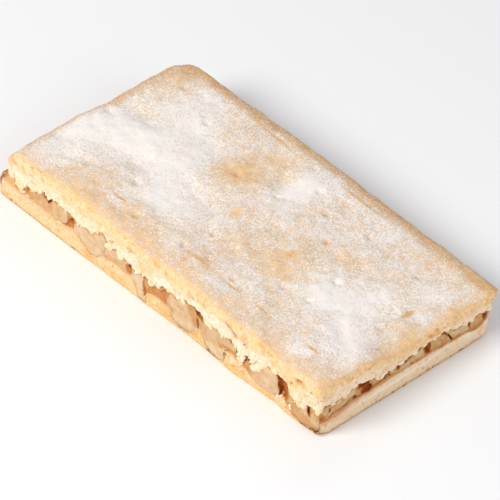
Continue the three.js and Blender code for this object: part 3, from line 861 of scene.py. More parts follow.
# Soft dents in the upper surface: x, y, half length, half width, turn in degrees, depth.
TOP_DENTS = [
    (-55, 6.0, 13, 3.6, 6, 0.9), (-40, -11.5, 13, 3.4, 10, 0.8), (-61, -18, 6, 3.2, 15, 0.7),
    (-27, 11.5, 9, 3.6, 0, 0.9), (-10, -6.0, 8, 4.0, -15, 0.7), (-2.0, 18.0, 8, 3.0, -42, 1.2),
    (31, 7.0, 7, 3.2, 0, 0.7), (61.5, -17.0, 9, 2.8, -42, 0.55), (45, 9.0, 5, 3.0, 20, 0.4),
    (-41, 26, 8, 3.5, -8, 0.7), (5, -20.0, 4, 2.0, 0, 0.5), (41, -20.5, 3, 2.0, 0, 0.5),
    (-24, -21, 5, 2.6, 20, 0.5), (20, 24, 5, 2.6, -20, 0.5), (-60, 31, 6, 3.0, 0, 0.6),
    (49, -9, 5, 2.2, 30, 0.5), (14, 2, 6, 3.0, 20, 0.4), (-48, -22, 6, 2.5, 10, 0.4),
    (-69.0, -38, 3.2, 13, 0, 2.6),
]
# Unevenness of the upper surface, broad and fine.
TOP_SWELLS = {"size": 8, "height": 0.45}
TOP_BUMPS = {"size": 2.2, "height": 0.16}
# How far in from the cuts the crumb stands at its foot, and the bottom crust at its crest.
CRUMB_INSET = 0.8
CREST_INSET = 0.2
# The ragged foot of the crust at the near cut, as places along it and heights, and at the right cut.
NEAR_FOOT = [
    (-68, 13.0), (-65, 12.0), (-62, 11.3), (-58.5, 11.2), (-56.5, 11.8), (-52, 12.2), (-49.3, 14.2),
    (-47.6, 12.6), (-46.0, 14.2), (-39, 13.9), (-36.3, 13.6), (-34, 11.8), (-31, 12.4), (-27, 12.8),
    (-24, 14.2), (-21.5, 15.6), (-19.7, 14.2), (-18.5, 12.2), (-15, 12.6), (-11.2, 11.8), (-10.6, 12.4),
    (-8.4, 12.2), (-7.2, 10.8), (-4, 11.2), (0, 11.6), (3, 12.3), (5, 13.2), (10, 13.8), (16.5, 14.1),
    (20, 14.6), (23.0, 14.0), (24.0, 12.4), (28, 13.0), (32, 12.6), (36, 12.4), (40, 12.2), (44, 11.8),
    (47, 12.2), (50, 13.8), (53, 13.9), (56, 13.6), (59.6, 13.0), (61.2, 10.4), (63, 8.6), (66, 8.4),
    (68.5, 10.6), (71, 10.4), (73, 10.8),
]
RIGHT_FOOT = [
    (-36, 10.8), (-33, 11.4), (-30, 12.0), (-26, 12.2), (-22.5, 13.0), (-20, 12.0), (-17, 11.0),
    (-13, 10.2), (-8, 9.2), (-5, 9.2), (-2, 10.2), (2, 11.4), (5, 12.4), (7.2, 12.0), (12, 12.1),
    (17, 11.4), (22, 11.0), (28, 10.6), (32, 10.0), (36, 9.4),
]
# Holes broken in the crumb of the near cut: place along it, height, half length, half width, turn in
# degrees, depth.
NEAR_PITS = [
    (65.2, 15.6, 1.9, 1.2, 20, 1.3), (67.4, 14.8, 1.1, 0.7, 0, 1.0), (35.4, 15.9, 2.6, 0.8, -32, 1.9),
    (37.4, 14.6, 1.0, 0.8, 0, 1.8), (-38.0, 16.6, 0.9, 0.5, 30, 0.9), (-9.4, 16.0, 0.9, 0.6, 50, 1.0),
    (13.6, 20.6, 1.0, 0.5, 20, 0.8), (48.2, 12.6, 1.0, 0.6, 0, 1.3), (60.0, 17.4, 0.6, 0.4, 0, 0.6),
    (-61.5, 14.2, 0.9, 0.4, 30, 0.6), (-18.4, 14.0, 1.2, 0.5, 60, 1.0), (41.4, 13.8, 1.1, 0.7, -20, 1.6),
    (19.0, 16.6, 0.5, 0.9, 0, 0.7), (-57.0, 12.9, 1.2, 0.4, 30, 0.8), (53.5, 14.4, 1.6, 0.6, 20, 1.2),
    (-30.0, 15.2, 0.7, 0.4, 0, 0.6), (5.5, 15.6, 0.8, 0.5, 20, 0.6), (70.0, 15.0, 0.8, 0.6, 0, 0.9),
]
# Where torn crumb shows white at the near cut, or golden where the amount is below 0: place along it,
# height, half length, half width, turn in degrees, amount.
NEAR_WHITE = [
    (30.0, 14.6, 5.5, 2.4, 10, 0.9), (41.0, 12.0, 3.2, 3.4, 0, 0.9), (46.0, 10.8, 3.0, 2.4, 0, 0.9),
    (-9.0, 14.6, 1.4, 2.0, 0, 0.9), (5.0, 14.0, 4.0, 1.2, 15, 0.8), (-61.0, 11.2, 3.0, 1.8, 0, 0.7),
    (66.0, 9.2, 3.0, 0.9, 0, 0.7), (-14.0, 13.0, 4.0, 1.2, 0, 0.8), (62.0, 13.4, 3.6, 2.2, 0, -0.6),
    (57.0, 15.0, 4.0, 1.6, 0, -0.4), (-18.6, 14.4, 1.2, 1.6, 0, -0.5),
]
# Stretches of each cut where the crumb has broken away over a hollow: middle and half length.
CRUMB_GAPS = {
    "near": [(-48.9, 0.9), (-46.0, 1.3), (-35.8, 1.5), (-9.4, 1.4), (21.9, 2.4), (58.4, 2.8), (69.8, 0.9)],
    "right": [(-19.8, 2.6), (-10.8, 1.2), (5.6, 1.6), (12.4, 1.4)],
}
# Where round the edge of each cut the skin gives way to crumb, and where the sugar ends, as shares of the
# way round from the top to the brow.
CRUMB_STARTS = {"near": (0.25, 0.65), "right": (0.50, 0.95)}
SUGAR_ENDS = {"near": (0.00, 0.95), "right": (0.30, 1.10)}
BROW_SUGAR = 0.35  # the share of the sugar that still lies at the near brow
# The skin turns golden towards the cuts, over this width, and up to a value where crumb begins to show.
GOLDEN_WIDTH = {"near": 9.0, "right": 4.5}
GOLDEN_MOST = 0.28
# How pale the crumb is: at the brow, further down, then how much more at the foot and in patches, and how
# much less in pores, where the darkening is painted shade.
PALE = {"brow": 0.08, "below": 0.55, "foot": 0.55, "patches": 0.35, "pores": 0.8}
# How golden brown the crumb is: as painted shade in pits, pores and creases, and as its own colour in broad
# patches. Then how much of it all is left out.
PORE_SHADE_AND_GOLDEN = {"pits": 0.50, "pores": 0.40, "creases": 0.55, "patches": 0.45, "left_out": 0.12}
# How deep each kind of unevenness is broken out of the crumb, at the brow and at the foot.
CRUMB_DEPTH = {
    "knobs": (0.30, 0.80), "grains": (0.22, 0.36), "fine": (0.16, 0.16), "broad": (0.0, 0.35),
    "pores": (0.30, 0.50),
}
# Rings that turn in under the foot: how far in, and the share of the way from the foot to the underside.
TUCKED_RINGS = ((0.9, 0.35), (2.0, 0.60))
# Rings under the crust: how far in from the cuts, and how many places to a cell there.
UNDER_RINGS = ((4.0, 2), (5.5, 1))


def broken_away(along, side, inset):
    """1 where the crumb of a cut has broken away over a hollow and 0 elsewhere."""
    shown_along = as_shown(along, 0.0, side, inset)[0]
    share = np.zeros_like(shown_along)
    for middle, half_length in CRUMB_GAPS[side]:
        share = np.maximum(share, np.exp(-((shown_along - middle) / half_length) ** 2))
    return share


def foot_teeth(level):
    """How far the ragged foot of the crumb rises and falls at places of a cut."""
    return 0.9 * rough_noise(level, 2.8, 3, SEED + 41) + 0.3 * rough_noise(level, 0.9, 2, SEED + 47)


def foot_height(x, y, outline):
    """Height of the lower edge of the top crust round the bar."""
    near_foot = traced_height(NEAR_FOOT, x, "near", CRUMB_INSET)
    right_foot = traced_height(RIGHT_FOOT, y, "right", CRUMB_INSET)
    return outline.pick(near_foot, right_foot, underside_height(x, y))


def crumb_foot(brow, outline):
    """Height of the ragged foot of the crumb under places of the brow."""
    level = brow * FLAT
    x, y = level[:, 0], level[:, 1]
    gap = outline.pick(broken_away(x, "near", CRUMB_INSET), broken_away(y, "right", CRUMB_INSET))
    teeth = foot_teeth(level) * (1 - gap)
    return foot_height(x, y, outline) + np.where(outline.is_cut, teeth, 0.25 * teeth)


def top_surface(x, y):
    """Height of the upper surface, with its bumps, dents, pricked holes and streaks."""
    flat = np.stack([x, y, np.zeros_like(x)], axis=1)
    swells = TOP_SWELLS["height"] * rough_noise(flat, TOP_SWELLS["size"], 3, SEED + 31)
    bumps = TOP_BUMPS["height"] * rough_noise(flat, TOP_BUMPS["size"], 2, SEED + 37)
    z = upper_height(x, y) + (swells + bumps)
    for *oval, depth in TOP_DENTS:
        z -= depth * patch(x, y, oval)
    for streak in BARE_STREAKS:
        z -= STREAK["depth"] * patch(x, y, streak)
    return z - PRICK["depth"] * pricked(x, y)


# Sheets to fill, as sheet_points takes them: the top inside its rounded edge, and the underside.
FLAT_TOP = (TOP_BOX, CUT_EDGE["width"], BAKED_EDGE["width"], top_surface)
TOP_UNDERSIDE_SHEET = (TOP_BOX, 7.0, 9.0, underside_height)


def sugar_on(points):
    return sugar_cover(points[:, 0], points[:, 1])


def golden_on(points):
    """How golden the skin is, from 0 to the value at which crumb begins to show."""
    from_near = (points[:, 1] - TOP_BOX["near"]) / GOLDEN_WIDTH["near"]
    from_right = (TOP_BOX["right"] - points[:, 0]) / GOLDEN_WIDTH["right"]
    waver = 0.25 * rough_noise(points * FLAT, 4, 2, SEED + 43)
    return GOLDEN_MOST * smoothstep(np.minimum(from_near, from_right) + waver, 1.0, 0.1)


# Browner skin in rubbed streaks, its own colour, and in pricked holes, partly painted shade.
def browned_on(points):
    x, y = points[:, 0], points[:, 1]
    streaks = sum(patch(x, y, streak) for streak in BARE_STREAKS)
    return np.clip(PRICK["browned"] * pricked(x, y) + STREAK["browned"] * streaks, 0, 0.8)


def ovals_at_near(wall, outline, ovals):
    """The sum of ovals traced on the near cut, each with its amount last."""
    along, up = as_shown(wall[:, 0], wall[:, 2], "near", CREST_INSET)
    total = np.zeros(len(wall))
    for *oval, amount in ovals:
        total += amount * patch(along, up, oval)
    return np.where(outline.on_near, total, 0)


def crumb_relief(wall, share, outline):
    """How far the crumb of a side is broken out, little at the brow and more towards the foot. Also how deep
    each place lies, which colours it golden brown: painted shade in pits, pores and creases, and the crumb's
    own colour in broad patches."""
    torn = share ** 1.4
    uneven = {
        "knobs": 1 - grain_noise(wall, 1.7, SEED + 53),
        "grains": 1 - grain_noise(wall, 0.9, SEED + 59),
        "fine": 1 - grain_noise(wall, 0.5, SEED + 60),
        "broad": 0.5 + 0.5 * rough_noise(wall, 3.6, 2, SEED + 61),
        "pores": smoothstep(smooth_noise(wall * [1, 1, 1.6], 1.3, SEED + 62), 0.50, 0.85),
    }
    relief = sum(lerp(*CRUMB_DEPTH[kind], torn) * amount for kind, amount in uneven.items())
    pits = ovals_at_near(wall, outline, NEAR_PITS)
    lumps = 0.5 + 0.5 * rough_noise(wall, 6.0, 3, SEED + 65)
    depth = np.where(outline.is_cut, relief + pits, 0.45 * relief + 0.6 * lumps)
    patches = smoothstep(rough_noise(wall, 3.4, 2, SEED + 66), 0.15, 0.70) * (1 - share)
    creases = uneven["knobs"] * uneven["grains"]
    deep = PORE_SHADE_AND_GOLDEN["pits"] * pits + PORE_SHADE_AND_GOLDEN["pores"] * uneven["pores"] + PORE_SHADE_AND_GOLDEN["creases"] * creases
    deep = np.clip(deep + PORE_SHADE_AND_GOLDEN["patches"] * patches - PORE_SHADE_AND_GOLDEN["left_out"], 0, 1)
    return depth, np.where(outline.is_cut, deep, 0)


def baked_patches(points):
    """How strongly the oven has browned each place of a baked side, about 1 on average."""
    return np.clip(0.95 + 0.45 * rough_noise(points, 6.0, 4, SEED + 68), 0.4, 1.4)


def add_top_edge(skin):
    """Adds the rounded edge of the crust. Returns the brow, which is its last ring before the crumb is
    broken out, and the outline that the brow has."""
    for ring in range(1, EDGE_RINGS + 1):
        outline = Outline(TOP_CELLS, 2 if ring == 1 else 4)
        turned = math.pi / 2 * ring / EDGE_RINGS
        out, upright = math.sin(turned), math.cos(turned)
        width, baked_width = CUT_EDGE["width"] * (1 - out), BAKED_EDGE["width"] * (1 - out)
        level = ring_points(outline, TOP_BOX, width, baked_width, top_surface)
        reached = out + 0.22 * rough_noise(level * FLAT, 2.4, 3, SEED + 39)
        cut = outline.pick(*[smoothstep(reached, *CRUMB_STARTS[side]) for side in CUTS])
        bare = outline.pick(*[smoothstep(reached, *SUGAR_ENDS[side]) for side in CUTS], 0.6 * out)
        depth, deep = crumb_relief(level, 0.0, outline)
        points = ring_points(outline, TOP_BOX, width + depth * cut * out, baked_width, level[:, 2])
        points[:, 2] -= depth * cut * upright
        skin.add_ring(
            outline, points,
            sugar=sugar_on(level) * np.maximum(1 - bare, outline.pick(BROW_SUGAR, 0)),
            cut=np.maximum(cut, golden_on(level)),
            pale=np.where(outline.is_cut, PALE["brow"], 0),
            baked=np.where(outline.is_cut, 0, (0.15 + 0.35 * out) * baked_patches(level)),
            deep=deep * cut,
        )
    return level, outline


def add_top_sides(skin, brow, outline, foot_z, undercut):
    """Adds the sides of the crust, from the brow down to the ragged foot. The baked sides stand in by the
    undercut at their foot."""
    for row in range(1, SIDE_ROWS + 1):
        share = row / SIDE_ROWS
        belly = undercut * smoothstep(share, 0.15, 1.0)
        wall = ring_points(outline, TOP_BOX, 0.0, belly, lerp(brow[:, 2], foot_z, share))
        depth, deep = crumb_relief(wall, share, outline)
        points = ring_points(outline, TOP_BOX, depth, belly + depth, wall[:, 2])
        pale = lerp(PALE["brow"], PALE["below"], smoothstep(share, 0.0, 0.45))
        torn = PALE["foot"] * smoothstep(wall[:, 2] - foot_z, 2.6, 0.2)
        torn += PALE["patches"] * rough_noise(wall, 3.0, 2, SEED + 64)
        white = ovals_at_near(wall, outline, NEAR_WHITE)
        skin.add_ring(
            outline, points,
            sugar=outline.pick(BROW_SUGAR * sugar_on(brow) * smoothstep(share, 0.35, 0.0), 0),
            cut=np.where(outline.is_cut, 1.0, 0.0),
            pale=np.clip(pale + torn + white - PALE["pores"] * deep, 0, 1),
            baked=np.where(outline.is_cut, 0.0, (0.5 + 0.4 * share) * baked_patches(wall)),
            deep=deep,
        )


def add_top_underside(skin, outline, foot_z, undercut):
    """Adds the rings that turn in under the foot, and returns the last of them."""
    # deep paints these rings golden brown as painted shade under the foot.
    for inset, rise in TUCKED_RINGS:
        points = ring_points(outline, TOP_BOX, inset, undercut + inset, underside_height)
        points[:, 2] = np.maximum(lerp(foot_z, points[:, 2], rise), foot_z + 0.05)
        skin.add_ring(outline, points, cut=1.0, deep=0.9)
    for inset, on_cuts in UNDER_RINGS:
        outline = Outline(TOP_CELLS, on_cuts)
        points = ring_points(outline, TOP_BOX, inset, inset + 2, underside_height)
        skin.add_ring(outline, points, cut=1.0, deep=1.0)
    outline = Outline(UNDER_CELLS)
    return skin.add_ring(outline, ring_points(outline, *TOP_UNDERSIDE_SHEET), cut=1.0, deep=1.0)


def make_top_crust():
    skin = Skin(("sugar", "cut", "pale", "baked", "deep"))
    outline = Outline(TOP_CELLS)
    points = ring_points(outline, *FLAT_TOP)
    flat_ring = skin.add_ring(
        outline, points, sugar=sugar_on(points), baked=browned_on(points), cut=golden_on(points),
    )
    brow, outline = add_top_edge(skin)
    foot_z = crumb_foot(brow, outline)
    undercut = TOP_UNDERCUT * lerp(0.1, 1.0, smoothstep(outline.v, -1.0, -0.5))
    add_top_sides(skin, brow, outline, foot_z, undercut)
    under_ring = add_top_underside(skin, outline, foot_z, undercut)
    skin.fill(TOP_CELLS, flat_ring, FLAT_TOP, True, sugar=sugar_on, baked=browned_on, cut=golden_on)
    # deep paints the underside golden brown as painted shade as well.
    skin.fill(UNDER_CELLS, under_ring, TOP_UNDERSIDE_SHEET, False, cut=1.0, deep=1.0)
    crust = skin.object("top_crust_crumb", tan_crust_under_icing_sugar())
    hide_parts("top_crust")
    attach(crust, "root")


# ---- The bottom crust -----------------------------------------------------------------------------------

BASE_CELLS = (120, 60)
WALL_ROWS = 26
# How far the foot of the near cut stands in, by place along it: the lower crust broke unevenly there. The
# right cut stands in at its near corner.
NEAR_BASE_INSET = [
    (-73, 0.0), (-45, 0.0), (-30, 0.15), (-15, 0.3), (0, 0.45), (10, 0.7), (20, 0.7), (27, 0.5), (33, 0.0),
    (37, 0.0), (43, 0.35), (50, 0.6), (53.5, 0.9), (58, 0.3), (64, 0.35), (69, 0.8), (71, 1.4), (73, 2.4),
]
RIGHT_BASE_INSET = [(-36, 2.4), (-34.6, 1.4), (-32, 0.3), (20, 0.2), (36, 0.2)]
BASE_SLOPE_FROM = 3.6  # height under which the cuts slope in towards the base
# Height of the upper edge of the crust at the near cut, by place along it: the apple has sunk into it.
NEAR_CREST = [
    (-73, 8.2), (-71.5, 8.0), (-70, 6.8), (-66, 6.8), (-60, 6.4), (-52, 6.9), (-46, 6.8), (-44, 5.9),
    (-40, 6.6), (-36, 8.2), (-34, 7.0), (-31, 4.8), (-28, 3.6), (-25, 4.4), (-22.5, 6.4), (-19, 6.8),
    (-16, 7.2), (-9, 7.0), (-7, 4.0), (-5.8, 1.2), (-3, 0.9), (-2.2, 5.0), (0, 6.2), (4, 6.6), (8, 6.0),
    (9.6, 3.0), (12.5, 1.6), (17, 2.2), (19.6, 4.6), (22, 6.2), (23.5, 4.2), (25, 1.4), (30, 1.0),
    (32, 1.6), (33, 6.4), (36, 7.0), (40, 5.4), (44, 4.0), (47, 3.4), (53, 3.2), (56, 4.6), (58.5, 5.4),
    (60, 3.4), (62, 1.6), (66, 1.0), (73, 1.4),
]
RIGHT_CREST = [
    (-36, 5.4), (-30, 6.0), (-22, 6.8), (-8, 6.8), (10, 6.5), (22, 6.0), (26, 5.0), (29, 6.0), (32, 8.6),
]
# Patches of the near cut that are yellower than the rest: place along it, height, half length, half width,
# turn in degrees, amount.
NEAR_YOLK = [
    (20.0, 4.2, 3.2, 2.0, 0, 0.9), (6.5, 3.0, 4.0, 2.2, 0, 0.8), (-16, 3.0, 5.0, 2.0, 0, 0.55),
    (36.5, 2.2, 4.5, 1.8, 0, 0.6), (-1.0, 4.2, 1.6, 2.2, 0, 0.9), (-29, 2.4, 3.5, 1.6, 0, 0.6),
    (-45, 5.5, 6.0, 1.2, 0, 0.45), (62, 3.0, 3.0, 1.6, 20, 0.7), (50, 1.2, 5.0, 0.8, 0, 0.4),
]
# Streaks of flour in the right cut: place along it, height, half length, half width, turn in degrees,
# amount. Then the place of it that syrup has soaked.
RIGHT_FLOUR = [
    (-9, 4.3, 17, 0.5, 0, 0.75), (-28, 5.4, 8, 0.8, -4, 0.5), (24, 4.8, 3, 1.8, 0, 0.55),
    (12, 5.2, 9, 0.6, 3, 0.5),
]
RIGHT_SOAKED = (-31, 6.5, 8, 2.2, 0)
# The left end of the near cut, where the browned rim shows: places along it and heights.
BAKED_TIP = {"from": -70.6, "full": -72.4, "low": 1.5, "high": 5.0}
TRAY_MARKS_FADE = (-50, -20)  # where along the near cut the marks of the tray grow fainter
# How deep each kind of unevenness is broken out of the cuts.
SHORTCRUST_DEPTH = {"knobs": 0.30, "grains": 0.22, "pores": 0.30, "broad": 0.25}
# How baked the cuts are by marks of the tray, by specks and at the tip, and the baked sides all over and at
# their foot. Then how baked the base is.
CUT_BAKED = {"tray": 0.40, "specks": 0.45, "tip": 0.95}
SIDE_BAKED = {"all": 0.45, "foot": 0.25}
BASE_BAKED = 0.6
# How moist the cuts are under the crest and where syrup has soaked them, and how dark their pores and
# creases are painted as shade.
CUT_MOIST = {"crest": 0.15, "soaked": 0.95}
CUT_DEEP = {"pores": 0.5, "creases": 0.5, "left_out": 0.1}
# How yellow the near cut is in broad patches and towards the base, and how floury the right cut is.
NEAR_YELLOW = {"broad": 0.25, "base": 0.32}
RIGHT_FLOURY = {"all": 0.1, "broad": 0.2}
BAKED_FOOT_INSET = 1.6  # how far the baked sides turn in at their foot
SHOULDER = 0.15  # how far in from the cuts the outer ring of the crest is
CREST_WIDTH = 1.5  # how far in from the cuts the traced crest reaches
LOWEST_CREST = {"near": 0.7, "ragged": 0.6}  # before and after the crest is made ragged
# Rings from the bed out to the crest, and from the foot in under the base: how far in from the cuts, and
# how many places to a cell there, on the cuts and on the baked sides.
CREST_RINGS = ((1.9, 2, 1), (1.3, 4, 2), (SHOULDER, 8, 2))
BASE_RINGS = ((2.8, 4, 2), (3.4, 2, 1))
# Sheets to fill: the bed that the apple lies on, and the base.
BED = (BOTTOM_BOX, 2.2, RIM_WIDTH, bottom_upper_height)
BASE = (BOTTOM_BOX, 4.0, 5.0, 0.0)


def crest_height(x, y, outline):
    """Height of the upper edge of the bottom crust round the bar."""
    near_crest = traced_height(NEAR_CREST, x, "near", CREST_INSET)
    right_crest = traced_height(RIGHT_CREST, y, "right", CREST_INSET)
    rim = rim_height(x, y)
    return outline.pick(np.maximum(near_crest, LOWEST_CREST["near"]), np.minimum(right_crest, rim), rim)


def slope_in(wall, outline):
    """How far the foot of a cut stands in at each place of a wall."""
    near_inset = np.interp(wall[:, 0], *zip(*NEAR_BASE_INSET))
    right_inset = np.interp(wall[:, 1], *zip(*RIGHT_BASE_INSET))
    at_base = np.where(outline.on_near, near_inset, right_inset)
    return at_base * smoothstep(wall[:, 2], BASE_SLOPE_FROM, 0.0)


def add_crest(skin):
    """Adds the rings from the bed to the crest. Returns the crest and the outline that it has."""
    for inset, on_cuts, on_baked in CREST_RINGS:
        outline = Outline(BASE_CELLS, on_cuts, on_baked)
        baked_inset = RIM_TOP_INSET + inset - SHOULDER
        points = ring_points(outline, BOTTOM_BOX, inset, baked_inset, bottom_upper_height)
        ragged = 0.3 * rough_noise(points * FLAT, 2.4, 3, SEED + 73)
        crest = crest_height(points[:, 0], points[:, 1], outline) + ragged
        is_crest = outline.is_cut & (inset < CREST_WIDTH)
        points[:, 2] = np.where(is_crest, np.maximum(crest, LOWEST_CREST["ragged"]), points[:, 2])
        rim_baked = np.where(outline.is_cut, 0, SIDE_BAKED["all"] * baked_patches(points))
        skin.add_ring(outline, points, moist=0.4, baked=rim_baked)
    return points, outline


def shortcrust_relief(wall, below):
    """How far the crumb of a cut is broken out, less near the crest and the base, and how strong each kind
    of unevenness is. below is how far each place is under the crest."""
    uneven = {
        "knobs": 1 - grain_noise(wall, 1.4, SEED + 79),
        "grains": 1 - grain_noise(wall, 0.7, SEED + 80),
        "pores": smoothstep(smooth_noise(wall, 1.2, SEED + 82), 0.55, 0.9),
        "broad": 0.5 + 0.5 * rough_noise(wall, 4.0, 2, SEED + 83),
    }
    rough = lerp(1.0, 0.35, smoothstep(wall[:, 2], 2.4, 0.0)) * lerp(0.3, 1.0, smoothstep(below, 0.0, 1.4))
    depth = rough * sum(SHORTCRUST_DEPTH[kind] * amount for kind, amount in uneven.items())
    return depth, uneven


def shortcrust_looks(wall, below, uneven, outline):
    """The values of the bottom crust's sides: where they are baked, moist, painted with shade in pores and
    creases, yellow and floury.
    """
    x, z = wall[:, 0], wall[:, 2]
    specks = smoothstep(smooth_noise(wall, 0.9, SEED + 85), 0.35, 0.8) * smoothstep(z, 1.8, 0.4)
    near_tray = smoothstep(z, 0.9, 0.1)
    marked = np.where(outline.on_near, lerp(1.0, 0.3, smoothstep(x, *TRAY_MARKS_FADE)), 1.0)
    tip = smoothstep(x, BAKED_TIP["from"], BAKED_TIP["full"])
    tip = tip * smoothstep(z, BAKED_TIP["low"], BAKED_TIP["high"])
    cut_baked = marked * (CUT_BAKED["tray"] * near_tray + CUT_BAKED["specks"] * specks)
    cut_baked = np.maximum(cut_baked, CUT_BAKED["tip"] * tip)
    side_baked = SIDE_BAKED["all"] * baked_patches(wall) + SIDE_BAKED["foot"] * smoothstep(z, 1.4, 0.2)
    shown_y, shown_z = as_shown(wall[:, 1], z, "right", CREST_INSET)
    by_apple = CUT_MOIST["crest"] * smoothstep(below, 1.2, 0.1)
    soaked = CUT_MOIST["soaked"] * patch(shown_y, shown_z, RIGHT_SOAKED)
    # Painted shade in pores and creases.
    deep = CUT_DEEP["pores"] * uneven["pores"] + CUT_DEEP["creases"] * uneven["knobs"] * uneven["grains"]
    yolk = NEAR_YELLOW["broad"] * uneven["broad"] + NEAR_YELLOW["base"] * smoothstep(z, 3.4, 0.6)
    flour = sum(amount * patch(shown_y, shown_z, oval) for *oval, amount in RIGHT_FLOUR)
    flour = flour + RIGHT_FLOURY["all"] + RIGHT_FLOURY["broad"] * uneven["broad"]
    return {
        "baked": np.where(outline.is_cut, cut_baked, side_baked),
        "moist": np.where(outline.is_cut, by_apple, 0) + outline.pick(0, soaked),
        "deep": np.where(outline.is_cut, np.clip(deep - CUT_DEEP["left_out"], 0, 1), 0),
        "yolk": np.clip(ovals_at_near(wall, outline, NEAR_YOLK) + outline.pick(yolk, 0), 0, 1),
        "flour": outline.pick(0, np.clip(flour, 0, 1)),
    }


def add_bottom_sides(skin, points, outline):
    """Adds the sides of the bottom crust, from the crest down to the base."""
    crest = points[:, 2]
    for row in range(1, WALL_ROWS + 1):
        share = row / WALL_ROWS
        level = points * FLAT + (crest * (1 - share))[:, None] * UPWARDS
        slope = slope_in(level, outline)
        rim = RIM_TOP_INSET * (1 - smoothstep(share, 0.0, 0.30))
        rim += BAKED_FOOT_INSET * smoothstep(share, 0.80, 1.0) ** 2
        wall = ring_points(outline, BOTTOM_BOX, slope, rim, level[:, 2])
        below = crest - wall[:, 2]
        depth, uneven = shortcrust_relief(wall, below)
        lumps = 0.5 + 0.5 * rough_noise(wall, 7.0, 3, SEED + 84)
        baked_inset = rim + 0.8 * depth + 0.7 * lumps
        points = ring_points(outline, BOTTOM_BOX, slope + depth, baked_inset, wall[:, 2])
        skin.add_ring(outline, points, **shortcrust_looks(wall, below, uneven, outline))


def make_bottom_crust():
    skin = Skin(("baked", "moist", "deep", "yolk", "flour"))
    outline = Outline(BASE_CELLS)
    bed_ring = skin.add_ring(outline, ring_points(outline, *BED), moist=1.0)
    points, outline = add_crest(skin)
    add_bottom_sides(skin, points, outline)
    for inset, on_cuts, on_baked in BASE_RINGS:
        outline = Outline(BASE_CELLS, on_cuts, on_baked)
        points = ring_points(outline, BOTTOM_BOX, inset, inset + 0.6, 0.0)
        skin.add_ring(outline, points, baked=BASE_BAKED)
    outline = Outline(BASE_CELLS)
    base_ring = skin.add_ring(outline, ring_points(outline, *BASE), baked=BASE_BAKED)
    skin.fill(BASE_CELLS, bed_ring, BED, True, moist=1.0)
    skin.fill(BASE_CELLS, base_ring, BASE, False, baked=BASE_BAKED)
    crust = skin.object("bottom_crust_crumb", firm_shortcrust())
    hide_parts("bottom_crust")
    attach(crust, "root")


# ---- The filling ----------------------------------------------------------------------------------------

FILLING_CELLS = (120, 60)
FILLING_ROWS = 40
